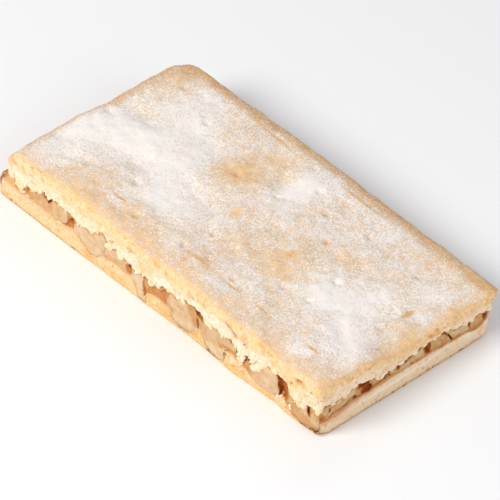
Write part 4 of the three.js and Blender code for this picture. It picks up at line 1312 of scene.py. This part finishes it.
# Pieces of apple cut through at the two cuts, from the hindmost to the foremost: the outline of the cut face
# as places along the cut and heights, how far the face stands back, and how much syrup has stained it.
NEAR_APPLE = [
    ([(-72.5, 6.0), (-58.6, 6.4), (-58.2, 10.4), (-61.0, 12.6), (-66.5, 12.8), (-71.5, 12.6)], 0.7, 0.40),
    ([(-59.4, 6.6), (-46.4, 6.6), (-45.8, 10.4), (-49.5, 12.6), (-56.0, 12.4), (-59.4, 10.4)], 0.8, 0.42),
    ([(-52.6, 6.4), (-46.6, 7.0), (-46.0, 9.6), (-49.6, 11.2), (-53.4, 9.4)], 0.6, 0.30),
    ([(-46.2, 9.0), (-45.0, 7.0), (-42.6, 5.8), (-39.6, 6.8), (-38.0, 9.0), (-37.0, 11.6), (-37.8, 14.2),
      (-43.6, 14.2), (-45.6, 12.6)], 0.35, 0.26),
    ([(-38.6, 7.6), (-36.0, 7.8), (-36.6, 12.4), (-38.0, 13.8), (-37.6, 10.4)], 0.8, 0.56),
    ([(-34.8, 8.4), (-31.0, 5.6), (-28.6, 4.2), (-28.4, 12.6), (-32.0, 13.0), (-34.8, 11.2)], 0.35, 0.16),
    ([(-21.4, 6.2), (-11.5, 6.8), (-8.0, 8.8), (-8.4, 12.6), (-12.0, 13.4), (-20.6, 13.0)], 0.6, 0.24),
    ([(-20.6, 6.2), (-12.6, 6.8), (-10.4, 8.4), (-14.0, 9.0), (-19.6, 8.6)], 0.4, 0.32),
    ([(-28.9, 8.8), (-28.4, 5.2), (-26.2, 3.8), (-23.6, 6.0), (-21.0, 9.6), (-19.9, 12.6), (-20.2, 15.4),
      (-22.0, 16.6), (-24.6, 13.6), (-28.3, 11.0)], 0.1, 0.19),
    ([(-8.2, 10.0), (-7.8, 6.8), (-6.6, 4.0), (-5.6, 1.2), (-3.4, 0.6), (-2.9, 5.0), (-2.5, 9.0),
      (-2.8, 12.4), (-6.6, 12.2)], 0.25, 0.12),
    ([(-2.9, 5.6), (0.6, 5.0), (0.8, 11.8), (-2.7, 11.8)], 0.7, 0.50),
    ([(-0.4, 6.2), (5.6, 6.2), (8.2, 9.4), (11.0, 13.2), (10.2, 15.0), (6.4, 14.6), (-0.4, 12.2)],
     0.9, 0.56),
    ([(16.0, 6.4), (21.6, 5.4), (22.2, 9.4), (21.4, 12.6), (20.4, 15.0), (15.8, 15.0)], 0.5, 0.49),
    ([(6.6, 8.4), (9.8, 6.8), (9.9, 3.2), (12.5, 1.4), (17.0, 2.2), (20.0, 5.4), (18.4, 8.6), (16.8, 11.6),
      (16.4, 15.0), (11.2, 15.0), (8.2, 10.8)], 0.15, 0.24),
    ([(38.6, 3.6), (44.4, 3.2), (47.4, 6.0), (45.6, 8.6), (39.4, 9.0)], 0.6, 0.42),
    ([(22.1, 7.2), (23.4, 11.6), (25.4, 13.6), (30.0, 14.2), (35.0, 13.4), (39.4, 10.6), (38.4, 8.4),
      (34.0, 7.0), (29.6, 5.6), (24.0, 4.6)], 0.3, 0.27),
    ([(30.0, 8.0), (34.2, 8.6), (38.6, 9.4), (37.6, 8.2), (33.8, 6.8), (30.2, 6.2)], 0.5, 0.46),
    ([(22.4, 4.9), (22.8, 1.2), (28.0, 0.4), (32.3, 0.6), (32.4, 6.4), (29.0, 5.6), (25.0, 4.4)],
     0.15, 0.15),
    ([(45.0, 5.2), (47.6, 3.2), (53.2, 3.0), (55.6, 5.2), (56.5, 9.4), (56.2, 14.6), (50.4, 14.8),
      (47.6, 11.6), (46.2, 7.8)], 0.1, 0.22),
    ([(58.4, 5.4), (59.6, 2.6), (61.8, 0.8), (75.0, 0.3), (75.0, 11.6), (66.0, 11.4), (61.6, 9.0)],
     0.45, 0.42),
    ([(64.5, 5.2), (69.0, 4.2), (73.0, 5.4), (71.6, 8.6), (67.2, 9.0)], 0.3, 0.28),
]
RIGHT_APPLE = [
    ([(-38.0, 4.0), (-29.8, 5.0), (-29.4, 9.0), (-30.2, 12.6), (-38.0, 12.6)], 0.5, 0.26),
    ([(-34.4, 8.4), (-31.0, 8.4), (-30.0, 10.6), (-31.0, 12.6), (-34.2, 12.2)], 0.6, 0.36),
    ([(-30.6, 6.4), (-22.4, 6.4), (-22.6, 12.2), (-26.0, 13.4), (-30.4, 12.8)], 0.6, 0.31),
    ([(-18.4, 6.2), (-12.0, 6.2), (-11.6, 10.4), (-13.6, 12.0), (-17.4, 12.4)], 0.9, 0.42),
    ([(-10.0, 6.0), (-0.6, 6.0), (-0.4, 10.6), (-9.4, 10.4)], 0.5, 0.29),
    ([(-1.2, 6.0), (4.0, 5.8), (4.4, 9.0), (4.0, 13.0), (0.4, 12.6), (-1.4, 9.4)], 0.3, 0.27),
    ([(6.6, 6.0), (15.4, 5.8), (15.2, 8.4), (12.4, 10.4), (9.6, 12.2), (6.8, 11.0)], 0.7, 0.40),
    ([(14.6, 7.0), (16.4, 5.8), (22.2, 5.6), (22.6, 8.8), (22.2, 12.4), (13.6, 12.4), (14.4, 9.6)],
     0.3, 0.27),
    ([(22.4, 5.6), (26.5, 4.4), (30.4, 6.4), (30.2, 11.0), (22.4, 12.0)], 0.6, 0.40),
]
# Hollows between the pieces: place along the cut, height, half length, half width, turn in degrees, depth.
NEAR_HOLLOWS = [
    (-48.5, 12.8, 1.2, 0.55, 62, 4.0), (-46.2, 12.2, 1.8, 0.6, 60, 4.0), (-35.8, 11.3, 1.4, 1.0, 35, 3.4),
    (-36.8, 9.6, 2.4, 1.4, 45, 1.1), (-9.2, 11.0, 1.2, 0.8, 60, 2.8), (-9.9, 9.6, 1.7, 1.2, 40, 0.9),
    (22.4, 13.1, 2.6, 0.9, -46, 5.5), (21.4, 9.0, 0.5, 2.2, 8, 1.6), (58.7, 9.6, 2.7, 4.4, 8, 3.4),
    (57.6, 6.6, 0.9, 1.6, -20, 2.2), (42.6, 10.2, 3.9, 0.55, 64, 3.4), (69.8, 9.0, 1.0, 2.6, -14, 3.4),
    (-55.6, 11.4, 1.6, 0.5, 15, 1.8), (-58.0, 9.8, 0.5, 1.5, 0, 1.2), (32.8, 3.8, 0.4, 2.8, 0, 1.4),
    (6.8, 11.6, 3.6, 0.5, 40, 1.4), (-60.4, 12.0, 0.8, 0.4, 40, 1.5), (-52.2, 12.2, 0.8, 0.4, 20, 1.4),
]
RIGHT_HOLLOWS = [
    (-20.0, 11.3, 3.0, 1.7, -36, 7.0), (-18.6, 8.4, 2.2, 1.5, -20, 3.0), (-11.0, 8.9, 2.2, 0.95, -52, 4.5),
    (-0.6, 7.0, 0.55, 0.9, 0, 2.4), (5.5, 10.0, 1.5, 2.6, 14, 3.0), (12.4, 10.9, 2.4, 0.5, -32, 2.0),
    (14.6, 8.6, 1.9, 0.4, -58, 3.2), (22.5, 9.2, 0.45, 2.0, 0, 2.4), (-32.6, 8.8, 0.6, 0.6, 0, 1.6),
    (9.6, 11.8, 1.4, 0.4, 0, 1.4), (28.6, 8.6, 0.9, 1.6, 20, 1.6), (-23.4, 8.0, 0.5, 0.9, 20, 1.4),
    (-27.5, 6.8, 7.0, 0.8, 4, 0.3), (-32.5, 10.6, 1.6, 0.6, 40, 0.5), (-14.5, 7.4, 3.0, 0.6, 0, 0.3),
    (22.4, 9.6, 0.6, 1.6, 0, 1.2), (29.4, 9.0, 0.7, 1.4, 0, 1.0), (-36.0, 8.6, 1.0, 2.0, 30, 0.5),
]
HOLLOW_RIM = 0.6  # how far in from the cut the edge of a hollow is
# Only a share of each hollow's listed depth is sunk; the rest is shown as painted shade.
HOLLOW_SHARE = 0.35  # how much of the depths above is sunk, the rest being only darker
# How dark the hollows are, from shallow to deep, reached at full_depth: syrup gathered there and painted
# shade that grows with depth.
HOLLOW_SYRUP_AND_SHADE = {"shallow": 0.56, "deep": 0.92, "full_depth": 4.2}
# Flaps of torn crumb that hang in front of the near cut: the outline as places along it and heights, how far
# it stands back, and how white it is.
CRUMB_FLAPS = [
    ([(25.0, 13.6), (28.0, 12.8), (31.5, 12.2), (34.6, 12.4), (35.2, 14.4), (32.6, 16.6), (28.4, 16.4)],
     0.3, 1.0),
    ([(38.4, 8.2), (39.4, 6.4), (41.0, 7.4), (42.2, 11.0), (43.4, 14.0), (40.6, 15.2), (38.8, 12.6)],
     0.1, 1.0),
    ([(43.4, 9.8), (44.6, 8.2), (46.8, 7.6), (48.8, 9.4), (50.4, 12.0), (50.4, 14.0), (46.4, 14.6),
      (43.9, 13.0)], 0.1, 0.9),
    ([(-62.8, 10.8), (-61.2, 7.6), (-59.6, 7.2), (-59.0, 9.6), (-59.4, 12.4), (-62.0, 12.8)], 0.3, 0.5),
    ([(-58.7, 6.4), (-57.4, 5.1), (-56.1, 5.9), (-56.5, 7.7), (-58.2, 7.8)], 0.2, 0.6),
    ([(-9.8, 13.6), (-8.8, 12.8), (-7.8, 13.4), (-7.8, 15.6), (-9.2, 16.0)], 0.3, 1.0),
    ([(-43.8, 6.9), (-41.4, 5.8), (-39.8, 6.0), (-39.8, 7.6), (-42.4, 7.8)], 0.2, 0.7),
    ([(34.0, 6.6), (35.4, 4.4), (38.4, 4.0), (39.6, 6.2), (36.8, 7.6)], 0.2, 0.5),
    ([(54.6, 5.2), (56.0, 3.9), (58.6, 4.3), (59.0, 5.4), (57.6, 6.0), (56.0, 5.6)], 0.1, 0.8),
    ([(60.6, 5.2), (61.2, 4.5), (62.0, 4.8), (61.9, 5.8), (61.0, 6.0)], 0.2, 0.8),
    ([(61.4, 9.4), (63.2, 7.2), (65.8, 7.4), (67.4, 9.2), (69.8, 11.0), (67.0, 13.4), (62.4, 13.2)],
     0.3, 0.2),
]
FACE_LEAN = 0.06  # how steeply each cut face leans, each in its own direction
LEAN_TURN = math.radians(137.5)
CRUMB_COVER = 1.9  # how far in the apple stands where crumb hangs over it
CRUST_COVER = 0.38  # and where it meets the bottom crust, so that it does not overhang it
CREST_REACH = 5  # how many places along the wall a steep stretch of the crest counts for
# How far the outlines of the pieces and the surface of the cut faces waver: the size of the waves and how
# far they reach.
OUTLINE_WAVER = {"size": 2.4, "reach": 0.45}
FACE_RIPPLES = {"size": 2.4, "reach": 0.10, "fine_size": 0.6, "fine_reach": 0.04}
# What lies behind the pieces: how far in and how stained it is, and how much more in its lumps.
BEHIND_PIECES = {"inset": 0.5, "lumps": 0.4, "stain": 0.34, "stained_lumps": 0.20}
# How much darker the filling is. Syrup stains it at the right cut by the crust and in patches, and at both
# cuts in ripples, mottles and specks. Painted shade darkens it behind crumb and under the top crust.
STAIN_AND_SHADE = {
    "by_crust": 0.22, "patches": 0.20, "ripples": 0.5, "mottles": 0.07, "specks": 0.35, "covered": 0.25,
    "shade": 0.20,
}
BAKED_COVER = 2.0  # how far in from the baked sides the filling stands
SYRUP_BEHIND = 0.9  # the stain of the filling inside, away from the cuts
LEAST_INSET = 0.15  # how far in from the cuts it stands at least
LOWEST_APPLE = 0.15  # how high over the base the filling ends where the crest is lowest
# How far the wall of the filling reaches past the edges of the crusts: past the crumb's foot and the crest
# at the cuts, and past the upper and the lower crust at the baked sides.
REACH_PAST = {"foot": 1.6, "crest": 1.0, "upper": 0.2, "lower": 0.3}
SHEET_GAP = 0.3  # how far from the crusts the filling ends inside
# Rings between the cuts and the sheets inside: how far in from the cuts, and how many places to a cell.
INNER_RINGS = ((9.0, 2), (8.5, 4))
INNER_RINGS_FURTHER = 3.0  # how much further in they stand from the baked sides


def inside_distance(along, up, corners):
    """How far each place is inside an outline, less than 0 outside it."""
    distance = np.full(along.shape, 99.0)
    is_inside = np.zeros(along.shape, bool)
    for (from_along, from_up), (to_along, to_up) in zip(corners, corners[1:] + corners[:1]):
        run, rise = to_along - from_along, to_up - from_up
        past, above = along - from_along, up - from_up
        share = np.clip((past * run + above * rise) / (run * run + rise * rise), 0, 1)
        distance = np.minimum(distance, np.hypot(past - share * run, above - share * rise))
        if rise != 0:
            crosses = (from_up > up) != (to_up > up)
            is_inside ^= crosses & (past < above * run / rise)
    return np.where(is_inside, distance, -distance)


def lid_height(x, y):
    return underside_height(x, y) - SHEET_GAP


def bed_height(x, y):
    return bottom_upper_height(x, y) + SHEET_GAP


# Sheets to fill: the top and the bottom of the layer, inside the cuts.
LID = (TOP_BOX, 9.5, 13.0, lid_height)
FILLING_BED = (TOP_BOX, 9.5, 13.0, bed_height)


def cut_faces(along, up, side, pieces, by_crust, inset, stain):
    """Lays the cut faces of the pieces over the inset and the stain of what is behind them."""
    for number, (corners, back, tone) in enumerate(pieces):
        shown_along, shown_up = as_shown(along, up, side, back)
        inside = inside_distance(shown_along, shown_up, corners)
        middle_along, middle_up = np.mean(corners, axis=0)
        turn = number * LEAN_TURN
        lean = math.cos(turn) * (shown_along - middle_along) + math.sin(turn) * (shown_up - middle_up)
        margin = smoothstep(inside, 1.1, 0.0) * (1 - by_crust)
        cover = smoothstep(inside + 1.3 * by_crust, -0.35, 0.30)
        inset = lerp(inset, back + np.clip(FACE_LEAN * lean, -0.3, 0.5) + 0.15 * margin, cover)
        stain = lerp(stain, tone + 0.06 * margin, cover)
    return inset, stain


def sink_hollows(along, up, side, hollows, inset, stain):
    """Sinks the hollows between the pieces and darkens them with syrup and with painted shade that grows
    with their depth.
    """
    shown_along, shown_up = as_shown(along, up, side, HOLLOW_RIM)
    for *oval, depth in hollows:
        bowl = smoothstep(patch(shown_along, shown_up, oval), 0.15, 0.70)
        inset = inset + HOLLOW_SHARE * depth * bowl
    shown_along, shown_up = as_shown(along, up, side, inset)
    for *oval, depth in hollows:
        # Painted shade: deeper hollows are coloured darker.
        reach = min(depth / HOLLOW_SYRUP_AND_SHADE["full_depth"], 1)
        syrup = smoothstep(patch(shown_along, shown_up, oval), 0.12, 0.50)
        stain = np.maximum(stain, syrup * lerp(HOLLOW_SYRUP_AND_SHADE["shallow"], HOLLOW_SYRUP_AND_SHADE["deep"], reach))
    return inset, stain


def cut_apple(wall, along, side, pieces, hollows, over_crest):
    """How far in from the cut the filling lies at each place of its wall, and how stained and shaded it is,
    with painted shade in its hollows. Where the wall is little over the crest of the bottom crust the pieces
    reach past their outlines into it."""
    by_crust = smoothstep(over_crest, 1.4, 0.4)
    waver, reach = OUTLINE_WAVER["size"], OUTLINE_WAVER["reach"]
    along = along + reach * rough_noise(wall, waver, 3, SEED + 88)
    up = wall[:, 2] + reach * rough_noise(wall, waver, 3, SEED + 89)
    lumps = 1 - grain_noise(wall, 3.6, SEED + 91)
    inset = BEHIND_PIECES["inset"] + BEHIND_PIECES["lumps"] * lumps
    stain = BEHIND_PIECES["stain"] + BEHIND_PIECES["stained_lumps"] * lumps
    inset, stain = cut_faces(along, up, side, pieces, by_crust, inset, stain)
    return sink_hollows(along, up, side, hollows, inset, stain)


def behind_flaps(along, up):
    """1 where a flap of crumb hangs over a place of the near cut and 0 elsewhere."""
    shown_along, shown_up = as_shown(along, up, "near", CRUMB_INSET)
    inside = [inside_distance(shown_along, shown_up, corners) for corners, _, _ in CRUMB_FLAPS]
    return smoothstep(np.max(inside, axis=0), -0.1, 0.5)


def filling_row(outline, wall, high, crumb_z, crest):
    """Points of the filling's wall at one height, and how stained each is, with painted shade in hollows,
    behind crumb and under the top crust. high is where the wall begins.
    """
    x, y, z = wall.T
    crest_beside = [np.roll(crest, shift) for shift in (-CREST_REACH, 0, CREST_REACH)]
    over_crest = z - np.max(crest_beside, axis=0)
    near_inset, near_stain = cut_apple(wall, x, "near", NEAR_APPLE, NEAR_HOLLOWS, over_crest)
    right_inset, right_stain = cut_apple(wall, y, "right", RIGHT_APPLE, RIGHT_HOLLOWS, over_crest)
    ripple = FACE_RIPPLES["reach"] * rough_noise(wall, FACE_RIPPLES["size"], 3, SEED + 93)
    ripple += FACE_RIPPLES["fine_reach"] * smooth_noise(wall, FACE_RIPPLES["fine_size"], SEED + 98)
    inset = np.where(outline.on_near, near_inset, right_inset) + ripple + slope_in(wall, outline)
    # covered: where crumb hangs over the apple, which stands back there and is darkened with painted shade.
    covered = np.maximum(smoothstep(z - crumb_z, -0.3, 0.5), outline.pick(behind_flaps(x, z), 0))
    inset = np.maximum(inset, CRUMB_COVER * covered)
    inset = np.maximum(inset, CRUST_COVER * smoothstep(z - crest, 1.0, 0.2))
    points = ring_points(outline, TOP_BOX, np.maximum(inset, LEAST_INSET), BAKED_COVER + 0.8 * ripple, z)

    soaked = STAIN_AND_SHADE["by_crust"] * smoothstep(over_crest, 1.8, 0.2)
    soaked += STAIN_AND_SHADE["patches"] * smoothstep(rough_noise(wall, 2.0, 3, SEED + 96), 0.0, 0.6) - 0.03
    mottles = STAIN_AND_SHADE["mottles"] * rough_noise(wall, 1.4, 2, SEED + 95)
    stain = np.where(outline.on_near, near_stain, right_stain + soaked)
    # Ripples and mottles are the apple's own tone; covered adds painted shade under the crumb.
    stain += STAIN_AND_SHADE["ripples"] * ripple + mottles + STAIN_AND_SHADE["covered"] * covered
    # Painted shade just under the top crust.
    shade = STAIN_AND_SHADE["shade"] * smoothstep(high - z, 2.4, 1.6)
    specks = STAIN_AND_SHADE["specks"] * smoothstep(smooth_noise(wall, 0.55, SEED + 99), 0.78, 0.92)
    return points, np.clip(stain + shade + specks, 0, 1)


def add_filling_wall(skin):
    """Adds the cut faces of the filling at both cuts, with the hollows between the pieces."""
    outline = Outline(FILLING_CELLS, 8)
    wall = ring_points(outline, TOP_BOX, 0.0, BAKED_COVER, 0.0)
    x, y, _ = wall.T
    crumb_z = crumb_foot(wall, outline)
    crest = crest_height(x, y, outline)
    cut_high = foot_height(x, y, outline) + REACH_PAST["foot"]
    cut_low = np.maximum(crest - REACH_PAST["crest"], LOWEST_APPLE)
    high = np.where(outline.is_cut, cut_high, underside_height(x, y) + REACH_PAST["upper"])
    low = np.where(outline.is_cut, cut_low, bottom_upper_height(x, y) - REACH_PAST["lower"])
    for row in range(FILLING_ROWS + 1):
        wall = wall * FLAT + lerp(high, low, row / FILLING_ROWS)[:, None] * UPWARDS
        points, stain = filling_row(outline, wall, high, crumb_z, crest)
        skin.add_ring(outline, points, stain=stain)


def add_inner_rings(skin, rings, height):
    """Adds rings behind the cuts, between the wall of the filling and its lid or its bed."""
    for inset, on_cuts in rings:
        outline = Outline(FILLING_CELLS, on_cuts)
        points = ring_points(outline, TOP_BOX, inset, inset + INNER_RINGS_FURTHER, height)
        skin.add_ring(outline, points, stain=SYRUP_BEHIND)


def make_apple_filling():
    """The layer of apple and syrup: flat cut faces of the pieces at both cuts, with the hollows between."""
    skin = Skin(("stain",))
    outline = Outline(FILLING_CELLS)
    lid_ring = skin.add_ring(outline, ring_points(outline, *LID), stain=SYRUP_BEHIND)
    add_inner_rings(skin, INNER_RINGS, underside_height)
    add_filling_wall(skin)
    add_inner_rings(skin, INNER_RINGS[::-1], bottom_upper_height)
    bed_ring = skin.add_ring(outline, ring_points(outline, *FILLING_BED), stain=SYRUP_BEHIND)
    skin.fill(FILLING_CELLS, lid_ring, LID, True, stain=SYRUP_BEHIND)
    skin.fill(FILLING_CELLS, bed_ring, FILLING_BED, False, stain=SYRUP_BEHIND)
    filling = skin.object("apple_and_syrup", stewed_apple())
    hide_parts("apple_filling")
    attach(filling, "root")


# ---- Crumbs and sugar -----------------------------------------------------------------------------------

FLAP_CRUMBS_PER_MM2 = 2.2
FLAP_CRUMBS_AT_LEAST = 10
FLAP_CRUMB_SIZE = (0.9, 2.2)
FLAP_MARGIN = 0.2  # how far inside a flap's outline its crumbs stay
# Loose crumbs along the foot of the top crust, and fallen ones below it, by side: how many there are at
# most, their sizes, and how high over the foot they begin and end.
FOOT_CRUMBS = {"near": 240, "right": 70}
FOOT_CRUMB_SIZE = (1.0, 3.0)
FOOT_CRUMB_WHITE = 0.5
FOOT_CRUMBS_REACH = {"near": (-0.1, 1.6), "right": (0.2, 1.2)}
FALLEN_CRUMBS = {"near": 50, "right": 22}
FALLEN_CRUMB_SIZE = (0.25, 0.6)
FALLEN_CRUMBS_REACH = (-6.0, -0.4)
# Where the crumbs of each cut lie: between which sides, how far from them, and over which foot.
FOOT_STRETCH = {
    "near": {"from": "left", "to": "right", "margins": (1.0, 0.5), "line": NEAR_FOOT},
    "right": {"from": "near", "to": "far", "margins": (0.5, 4.0), "line": RIGHT_FOOT},
}
FOOT_CRUMB_INSET = (0.8, 1.6)
# How lumpy the crumbs of each kind are, as a share of their size.
LUMPY = {"flap": 0.45, "foot": 0.40, "fallen": 0.35}


class Heap:
    """Many small closed shapes that become one mesh, each with how white it is."""

    def __init__(self):
        self.points, self.faces, self.white = [], [], []
        self.count = 0

    def add(self, points, faces, white=0.0):
        self.faces += [[self.count + k for k in face] for face in faces]
        self.white.append(np.full(len(points), white))
        self.points.append(points)
        self.count += len(points)

    def object(self, name, material, slot):
        values = {"white": np.concatenate(self.white)}
        piece = make_mesh(name, np.concatenate(self.points), self.faces, values, material)
        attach(piece, "root")


def ball(steps):
    shape = bmesh.new()
    bmesh.ops.create_icosphere(shape, subdivisions=steps, radius=1.0)
    points = np.array([vertex.co[:] for vertex in shape.verts])
    faces = np.array([[vertex.index for vertex in face.verts] for face in shape.faces])
    shape.free()
    return points, faces


def random_turns(rng, count):
    """Random turns as matrices."""
    q = rng.normal(size=(count, 4))
    w, x, y, z = (q / np.linalg.norm(q, axis=1, keepdims=True)).T
    return np.stack([
        1 - 2 * (y * y + z * z), 2 * (x * y - z * w), 2 * (x * z + y * w),
        2 * (x * y + z * w), 1 - 2 * (x * x + z * z), 2 * (y * z - x * w),
        2 * (x * z - y * w), 2 * (y * z + x * w), 1 - 2 * (x * x + y * y),
    ], axis=1).reshape(count, 3, 3)


def scattered(shape, places, sizes, rng, lumpy):
    """Copies of a shape, each with its own size, turn and lumps, as joined points and faces."""
    base, base_faces = shape
    count = len(places)
    stretch = sizes[:, None] / 2 * rng.uniform(0.7, 1.25, (count, 3))
    flat = (base[None] * stretch[:, None]).reshape(-1, 3)
    shift = np.repeat(rng.uniform(0, 500, (count, 3)), len(base), axis=0)
    size_of_each = np.repeat(sizes, len(base))
    bumps = smooth_noise(flat / size_of_each[:, None] + shift, 0.35, SEED + 7)
    stretched = (flat * (1 + lumpy * bumps)[:, None]).reshape(count, -1, 3)
    copies = np.einsum("nij,nkj->nki", random_turns(rng, count), stretched) + places[:, None]
    faces = base_faces[None] + (np.arange(count) * len(base))[:, None, None]
    return copies.reshape(-1, 3), faces.reshape(-1, base_faces.shape[1])


def make_crumb_flaps():
    rng = np.random.default_rng(SEED + 2)
    flaps = Heap()
    for corners, back, white in CRUMB_FLAPS:
        low, high = np.min(corners, axis=0), np.max(corners, axis=0)
        tries = FLAP_CRUMBS_AT_LEAST + int(FLAP_CRUMBS_PER_MM2 * np.prod(high - low))
        along, up = rng.uniform(low, high, (tries, 2)).T
        kept = inside_distance(along, up, corners) > FLAP_MARGIN
        along, up = along[kept], up[kept]
        sizes = rng.uniform(*FLAP_CRUMB_SIZE, len(along)) * rng.uniform(0.6, 1.0, len(along))
        inward = back + 0.5 * sizes + rng.uniform(0, 0.3, len(along))
        shift_along, shift_up = as_shown(0.0, 0.0, "near", inward)
        places = on_cut(along - shift_along, inward, up - shift_up, True)
        points, faces = scattered(ball(3), places, sizes, rng, LUMPY["flap"])
        flaps.add(inside_box(points), faces, white)
    flaps.object("crumb_flaps", torn_crumb(), "top_crust")


def along_foot(rng, side, count, low, high):
    """Random places along the foot of the top crust at one cut, from low to high above it."""
    stretch = FOOT_STRETCH[side]
    before, after = stretch["margins"]
    along = rng.uniform(TOP_BOX[stretch["from"]] + before, TOP_BOX[stretch["to"]] - after, count)
    inward = rng.uniform(*FOOT_CRUMB_INSET, count)
    teeth = foot_teeth(on_cut(along, np.zeros(count), np.zeros(count), side == "near"))
    height = traced_height(stretch["line"], along, side, inward) + teeth + rng.uniform(low, high, count)
    places = on_cut(along, inward, np.maximum(height, 1.0), side == "near")
    return places[broken_away(along, side, inward) < 0.35]


def make_foot_crumbs():
    rng = np.random.default_rng(SEED + 3)
    crumbs, fallen = Heap(), Heap()
    for side in CUTS:
        places = along_foot(rng, side, FOOT_CRUMBS[side], *FOOT_CRUMBS_REACH[side])
        sizes = rng.uniform(*FOOT_CRUMB_SIZE, len(places)) * rng.uniform(0.5, 1.0, len(places))
        points, faces = scattered(ball(3), places, sizes, rng, LUMPY["foot"])
        crumbs.add(inside_box(points), faces, FOOT_CRUMB_WHITE)

        places = along_foot(rng, side, FALLEN_CRUMBS[side], *FALLEN_CRUMBS_REACH)
        sizes = rng.uniform(*FALLEN_CRUMB_SIZE, len(places))
        points, faces = scattered(ball(2), places, sizes, rng, LUMPY["fallen"])
        fallen.add(inside_box(points), faces)
    crumbs.object("foot_crumbs", torn_crumb(), "top_crust")
    fallen.object("fallen_crumbs", torn_crumb(), "top_crust")


SUGAR_GRAINS = 20000
GRAIN_SIZE = (0.16, 0.36)
LEAST_GRAINS = 0.15  # how likely a grain is to stay where the dusting is thinnest
TRIES_FOR_A_GRAIN = 6
OCTAHEDRON = (
    np.array([[1, 0, 0], [-1, 0, 0], [0, 1, 0], [0, -1, 0], [0, 0, 1], [0, 0, -1]], float),
    np.array([[0, 2, 4], [2, 1, 4], [1, 3, 4], [3, 0, 4], [2, 0, 5], [1, 2, 5], [3, 1, 5], [0, 3, 5]]),
)


def make_sugar_grains():
    rng = np.random.default_rng(SEED + 4)
    tries = TRIES_FOR_A_GRAIN * SUGAR_GRAINS
    x = rng.uniform(TOP_BOX["left"] + 1, TOP_BOX["right"] - 1.5, tries)
    y = rng.uniform(TOP_BOX["near"] + 1.5, TOP_BOX["far"] - 1, tries)
    kept = rng.uniform(0, 1, tries) < lerp(LEAST_GRAINS, 1.0, sugar_cover(x, y))
    x, y = x[kept][:SUGAR_GRAINS], y[kept][:SUGAR_GRAINS]
    places = np.stack([x, y, top_surface(x, y)], axis=1)
    sizes = rng.uniform(*GRAIN_SIZE, len(places))
    grains = Heap()
    grains.add(*scattered(OCTAHEDRON, places, sizes, rng, 0.0))
    grains.object("icing_sugar_grains", icing_sugar(), "top_crust")


# ---- The whole ------------------------------------------------------------------------------------------

make_camera()
make_lights()
make_floor()
make_top_crust()
make_bottom_crust()
make_apple_filling()
make_crumb_flaps()
make_foot_crumbs()
make_sugar_grains()
